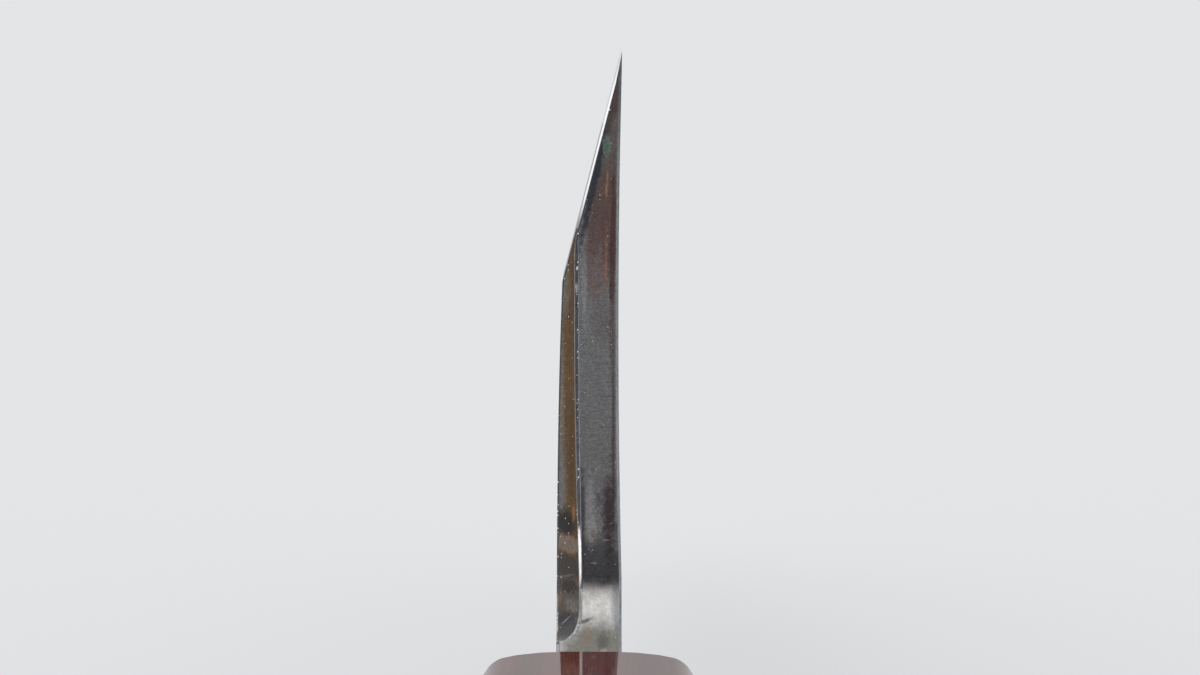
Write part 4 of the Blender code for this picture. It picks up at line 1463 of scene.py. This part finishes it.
def blade_finishes() -> tuple[dict[Zone, bpy.types.Material], dict[Zone, bpy.types.Material]]:
    """The finish of each zone of the forging.

    Returns:
        The finishes on the iron body and on the steel layer.
    """
    # Most of the heel's patches are painted reflection: the dark reddish, maroon and blue-black
    # zones at the top, the maroon band by the back border, and the dark band at the bottom, where
    # the ferrule's front is mirrored. The thin pale lines near the bottom are scratches.
    heel = GroundMetal(
        "polished_heel", "#8b8f91", "#5a5c5f", 0.2, Axis.X, 0.8, 0.055, 0.0004, line_shade=0.45,
        metallic=0.6, cloud_size=0.9, cloud_roughness=0.04, grit=0.34, grit_size=0.11,
        grit_stretch=1.4, speck_spacing=0.21, speck_share=0.3,
        stains_and_painted_light=(
            StainAndPaintedLight(1.05, 47.5, 1.1, 4.6, "#69635f", 0.8, 0.4, 0.2, 1.0, 10),
            StainAndPaintedLight(0.56, 43.2, 0.66, 3.5, "#6f5c58", 0.95, 0.4, 0.2, 0.8, 11),
            StainAndPaintedLight(1.08, 42.6, 0.5, 4.4, "#6d5854", 0.9, 0.45, 0.2, 0.8, 2),
            StainAndPaintedLight(0.42, 39.9, 0.8, 1.8, "#80726f", 0.85, 0.5, 0.3, 0.5),
            StainAndPaintedLight(1.33, 41.6, 0.22, 6.0, "#5a4440", 0.9, 0.5, 0.2, 0.6, 1),
            StainAndPaintedLight(1.0, 44.9, 0.1, 1.2, "#b08a74", 0.75, 0.8, 0.6, 0.2, 2),
            StainAndPaintedLight(0.95, 40.6, 0.13, 2.5, "#a37c6b", 0.7, 0.9, 0.5, 0.25, 1),
            StainAndPaintedLight(1.42, 49.6, 0.3, 2.2, "#5f4744", 0.8, 0.6, 0.35, 0.4, 8),
            StainAndPaintedLight(0.28, 44.9, 0.28, 5.0, "#3a3d45", 0.92, 0.6, 0.3, 0.35, 12.6),
            StainAndPaintedLight(0.98, 47.0, 0.3, 0.75, "#818d89", 0.7, 0.6, 0.5, 0.2),
            StainAndPaintedLight(0.99, 46.95, 0.17, 0.42, "#4a7a5b", 0.8, 0.6, 0.7, 0.12),
            StainAndPaintedLight(-0.25, 39.0, 0.22, 3.0, "#a6a7aa", 0.5, 0.8, 0.4, 0.3),
            StainAndPaintedLight(1.36, 30.5, 0.16, 8.5, "#5a4547", 0.75, 0.8, 0.3, 0.5),
            StainAndPaintedLight(0.8, 37.3, 0.85, 1.8, "#7b797b", 0.8, 0.6, 0.4, 0.4),
            StainAndPaintedLight(1.3, 36.4, 0.26, 2.6, "#6a5e5f", 0.7, 0.7, 0.3, 0.4),
            StainAndPaintedLight(0.25, 22.9, 2.8, 2.75, "#575a5e", 0.95, 0.4, 0.14, 0.6),
            StainAndPaintedLight(1.12, 26.3, 0.56, 3.9, "#43383d", 0.9, 0.8, 0.4, 0.35),
            StainAndPaintedLight(0.1, 26.9, 0.34, 2.2, "#a3a4a6", 0.65, 0.6, 0.6, 0.25),
            StainAndPaintedLight(0.15, 25.6, 0.42, 0.9, "#a3a4a4", 0.75, 0.5, 0.6, 0.2),
            StainAndPaintedLight(-0.36, 26.4, 0.22, 4.0, "#3f4146", 0.75, 0.7, 0.35, 0.4),
            StainAndPaintedLight(0.26, 25.4, 0.2, 0.3, "#857862", 0.6, 0.8, 0.4, 0.15),
            StainAndPaintedLight(0.62, 27.3, 0.34, 0.6, "#4f4c57", 0.6, 0.9, 0.6, 0.2),
            StainAndPaintedLight(0.3, 23.75, 0.24, 0.05, "#b4b6b7", 0.9, 0.7, 0.2, 0.2),
            StainAndPaintedLight(0.95, 25.05, 0.3, 0.04, "#9fa0a2", 0.8, 0.7, 0.2, 0.2),
        ),
    )
    # The chamfer's brown and its dark and grey patches are painted reflection; its specks are dust.
    facet = GroundMetal(
        "facet_painted_reflection", "#664b2b", "#3d2d17", 0.25, Axis.Z, 1.2, 0.07, 0.0005, line_shade=0.5,
        metallic=0.5, cloud_size=0.5, grit=0.35, grit_size=0.1, speck_spacing=0.22,
        speck_share=0.45, speck_size=0.17,
        stains_and_painted_light=(
            StainAndPaintedLight(-1.4, 39.2, 0.5, 2.4, "#706b63", 0.75, 0.7, 0.4, 0.2, y=3.0),
            StainAndPaintedLight(-1.6, 33.5, 0.34, 7.0, "#7a7165", 0.8, 0.7, 0.5, 0.14, y=3.0),
            StainAndPaintedLight(-1.5, 28.0, 0.34, 3.6, "#6f6f6f", 0.8, 0.7, 0.5, 0.14, y=3.0),
            StainAndPaintedLight(-0.95, 29.8, 0.2, 3.8, "#4f3a22", 0.7, 0.8, 0.3, 0.3, y=2.6),
            StainAndPaintedLight(-1.2, 21.3, 1.3, 2.1, "#59524c", 0.95, 0.4, 0.2, 0.4, y=2.5),
            StainAndPaintedLight(-1.3, 25.9, 0.9, 1.0, "#1f1f1f", 0.95, 0.6, 0.25, 0.25, y=3.0),
            StainAndPaintedLight(-0.84, 26.5, 0.13, 0.8, "#9a6c45", 0.75, 0.9, 0.3, 0.2, y=2.4),
            StainAndPaintedLight(-1.2, 24.7, 1.0, 0.62, "#7d6b5f", 0.95, 0.4, 0.25, 0.3, y=3.0),
            StainAndPaintedLight(-1.2, 23.4, 1.0, 0.85, "#3f3a38", 0.95, 0.4, 0.25, 0.4, y=3.0),
            StainAndPaintedLight(-1.3, 22.85, 0.7, 0.09, "#756f65", 0.6, 0.7, 0.5, 0.25, -20, y=3.0),
            StainAndPaintedLight(-1.1, 22.3, 0.7, 0.5, "#35312e", 0.9, 0.6, 0.4, 0.25, -15, y=3.0),
            StainAndPaintedLight(-1.62, 21.6, 0.2, 0.5, "#7d6048", 0.75, 0.8, 0.4, 0.25, y=3.0),
            StainAndPaintedLight(-0.95, 21.3, 0.55, 0.5, "#787068", 0.8, 0.6, 0.4, 0.25, y=2.5),
            StainAndPaintedLight(-1.15, 20.1, 1.0, 0.95, "#343336", 0.95, 0.5, 0.3, 0.3, y=2.5),
            StainAndPaintedLight(-1.3, 20.4, 0.6, 0.04, "#a09e9c", 0.8, 0.7, 0.5, 0.25, -48),
        ),
    )
    # The arris is drawn dark, a painted reflection, between the lighter borders; its white stripe
    # low down is the painted highlight of a flash, and the pale patch near the neck is painted
    # highlight too.
    arris = GroundMetal(
        "rounded_arris", "#505256", "#1c1d1f", 0.18, Axis.Z, 0.8, 0.05, 0.0003, metallic=0.7,
        grit=0.45, grit_size=0.1, speck_spacing=0.19, speck_share=0.85, speck_size=0.27,
        stains_and_painted_light=(
            StainAndPaintedLight(-0.75, 20.7, 1.6, 1.9, "#a3a3a2", 0.9, 0.3, 0.2, 0.4, y=0.5),
            StainAndPaintedLight(-0.66, 39.2, 0.2, 0.42, "#a2a3a2", 0.85, 0.9, 0.5, 0.12, y=2.2),
            StainAndPaintedLight(-0.64, 40.25, 0.05, 0.16, "#f2f2f0", 0.95, 0.6, 0.3, 0.12, 14, y=2.2),
            StainAndPaintedLight(-0.52, 24.1, 0.16, 2.05, "#ffffff", 1.0, 0.5, 0.05, 0.5, -0.8, y=2.2),
        ),
    )
    # The stain darkens the top of the back border: painted reflection, like the heel's top.
    border = GroundMetal(
        "eased_border", "#999b9e", "#707275", 0.2, Axis.Z, 1.5, 0.06, grit=0.25,
        stains_and_painted_light=(StainAndPaintedLight(1.8, 50.5, 0.4, 6.0, "#67696c", 0.9, 0.9, 0.1, 0.4),),
    )
    # The corner is whiter than any steel, a painted highlight, and its stain is painted shade where
    # that highlight fades out towards the chamfer.
    glint = GroundMetal(
        "bright_corner", "#ffffff", "#efeff0", 0.18, Axis.Z, 3.0, 0.06,
        stains_and_painted_light=(StainAndPaintedLight(-0.6, 42.0, 1.5, 2.6, "#85878a", 0.9, 0.9, 0.05, 0.5),),
    )
    # The dark band at the top of the neck is painted reflection, carrying on the heel's dark
    # bottom; the light streaks on its back corner are painted highlight; the grey-beige blotches
    # and dark patch lower down are partly patina and partly painted reflection.
    neck = GroundMetal(
        "brushed_neck", "#cfcecb", "#a5a39f", 0.3, Axis.Y, 2.5, 0.12, 0.0012, cloud_size=0.6,
        cloud_roughness=0.08, grit=0.14, wave=0.01, speck_spacing=0.3, speck_share=0.3,
        stains_and_painted_light=(
            StainAndPaintedLight(1.62, 21.2, 0.4, 3.4, "#96989a", 0.95, 0.7, 0.3, 0.3, -3, y=1.0),
            StainAndPaintedLight(0.6, 23.6, 4.0, 1.6, "#67696c", 1.0, 0.5, 0.05, 0.6),
            StainAndPaintedLight(0.6, 18.9, 2.8, 2.3, "#87847c", 0.95, 0.35, 0.12, 0.5, y=-1.0, reach_y=5.0),
            StainAndPaintedLight(0.75, 19.4, 0.6, 0.85, "#686862", 0.8, 0.6, 0.25, 0.35, y=-1.0, reach_y=5.0),
            StainAndPaintedLight(1.3, 21.3, 0.14, 1.5, "#a9aaac", 0.7, 0.8, 0.4, 0.4, -4, y=0.0, reach_y=5.0),
            StainAndPaintedLight(-0.1, 20.6, 0.5, 0.16, "#55585a", 0.8, 0.6, 0.5, 0.25, -20, y=0.0, reach_y=5.0),
            StainAndPaintedLight(0.85, 19.0, 0.3, 0.16, "#b3a690", 0.8, 0.7, 0.5, 0.2, y=-1.0, reach_y=5.0),
            StainAndPaintedLight(-0.1, 19.8, 0.4, 0.8, "#93826f", 0.7, 0.5, 0.6, 0.2, y=-1.0, reach_y=5.0),
        ),
    )
    flat = GroundMetal(
        "satin_flat", "#aeb0b3", "#85878a", 0.28, Axis.Y, 22.0, 0.16, 0.0014, line_shade=0.55,
        cloud_size=9.0, cloud_depth=0.12, grit=0.06, grit_size=0.2, grit_stretch=20.0,
    )
    kasumi = GroundMetal(
        "hazed_iron", "#96989b", "#7d7f83", 0.45, Axis.Z, 5.0, 0.14, 0.001, line_shade=0.4,
        cloud_size=4.0, cloud_depth=0.25, grit=0.12,
    )
    bright = GroundMetal(
        "honed_steel", "#bcbec1", "#9ea0a3", 0.2, Axis.Y, 10.0, 0.1, 0.0006, line_shade=0.5,
        cloud_size=7.0, cloud_depth=0.12,
    )
    edge = GroundMetal(
        "fresh_edge", "#d6d7d8", "#b8babc", 0.1, Axis.Y, 3.0, 0.05, 0.0004, cloud_depth=0.1
    )
    back = GroundMetal(
        "hollow_back", "#a4a6a9", "#7f8184", 0.22, Axis.Y, 26.0, 0.18, 0.0012, line_shade=0.55,
        cloud_size=11.0, cloud_depth=0.12, grit=0.06,
    )
    spine = GroundMetal("ground_spine", "#adaeb0", "#8b8c8e", 0.25, Axis.X, 2.0, 0.07, 0.001)
    tang = GroundMetal(
        "scaled_tang", "#4a4644", "#2f2c2b", 0.6, Axis.Y, 5.0, 0.3, 0.01, cloud_size=2.0
    )
    made = {finish: finish.build() for finish in (
        heel, facet, arris, border, glint, neck, flat, kasumi, bright, edge, back, spine, tang
    )}
    shared = {
        Zone.HEEL: heel, Zone.FACET: facet, Zone.ARRIS: arris, Zone.BORDER: border,
        Zone.GLINT: glint, Zone.NECK: neck, Zone.FLAT: flat, Zone.BEVEL: kasumi, Zone.EDGE: edge,
        Zone.BACK: back, Zone.BACK_RIM: bright, Zone.SPINE: spine, Zone.TANG: tang,
    }
    iron = {zone: made[finish] for zone, finish in shared.items()}
    return iron, iron | {Zone.BEVEL: made[bright]}


def main() -> None:
    """Builds and dresses the knife, then sets up the studio."""
    logging.basicConfig(level=logging.INFO, format="%(name)s: %(message)s")
    forging = Forging()
    forging.build()
    forging.dress(*blade_finishes())
    handle = Handle()
    handle.build()
    handle.dress(
        Hardwood("polished_red_brown_ferrule", "#602d27", "#3f1c17", "#23110f", 0.3, gloss=0.78,
                 pore_share=0.3).build(),
        Hardwood("oiled_red_brown_handle", "#7a4636", "#4f2a20", "#28130e", 0.38).build(),
        Hardwood("bare_dowel", "#c3a173", "#a3814f", "#6e5433", 0.6).build(),
        Resin().build(),
    )
    for piece in (forging.iron, forging.steel, handle.ferrule, handle.body, handle.filler):
        log.info("%s: %d faces", piece.name, len(piece.data.polygons))
    Studio().build()


if __name__ == "__main__":
    main()
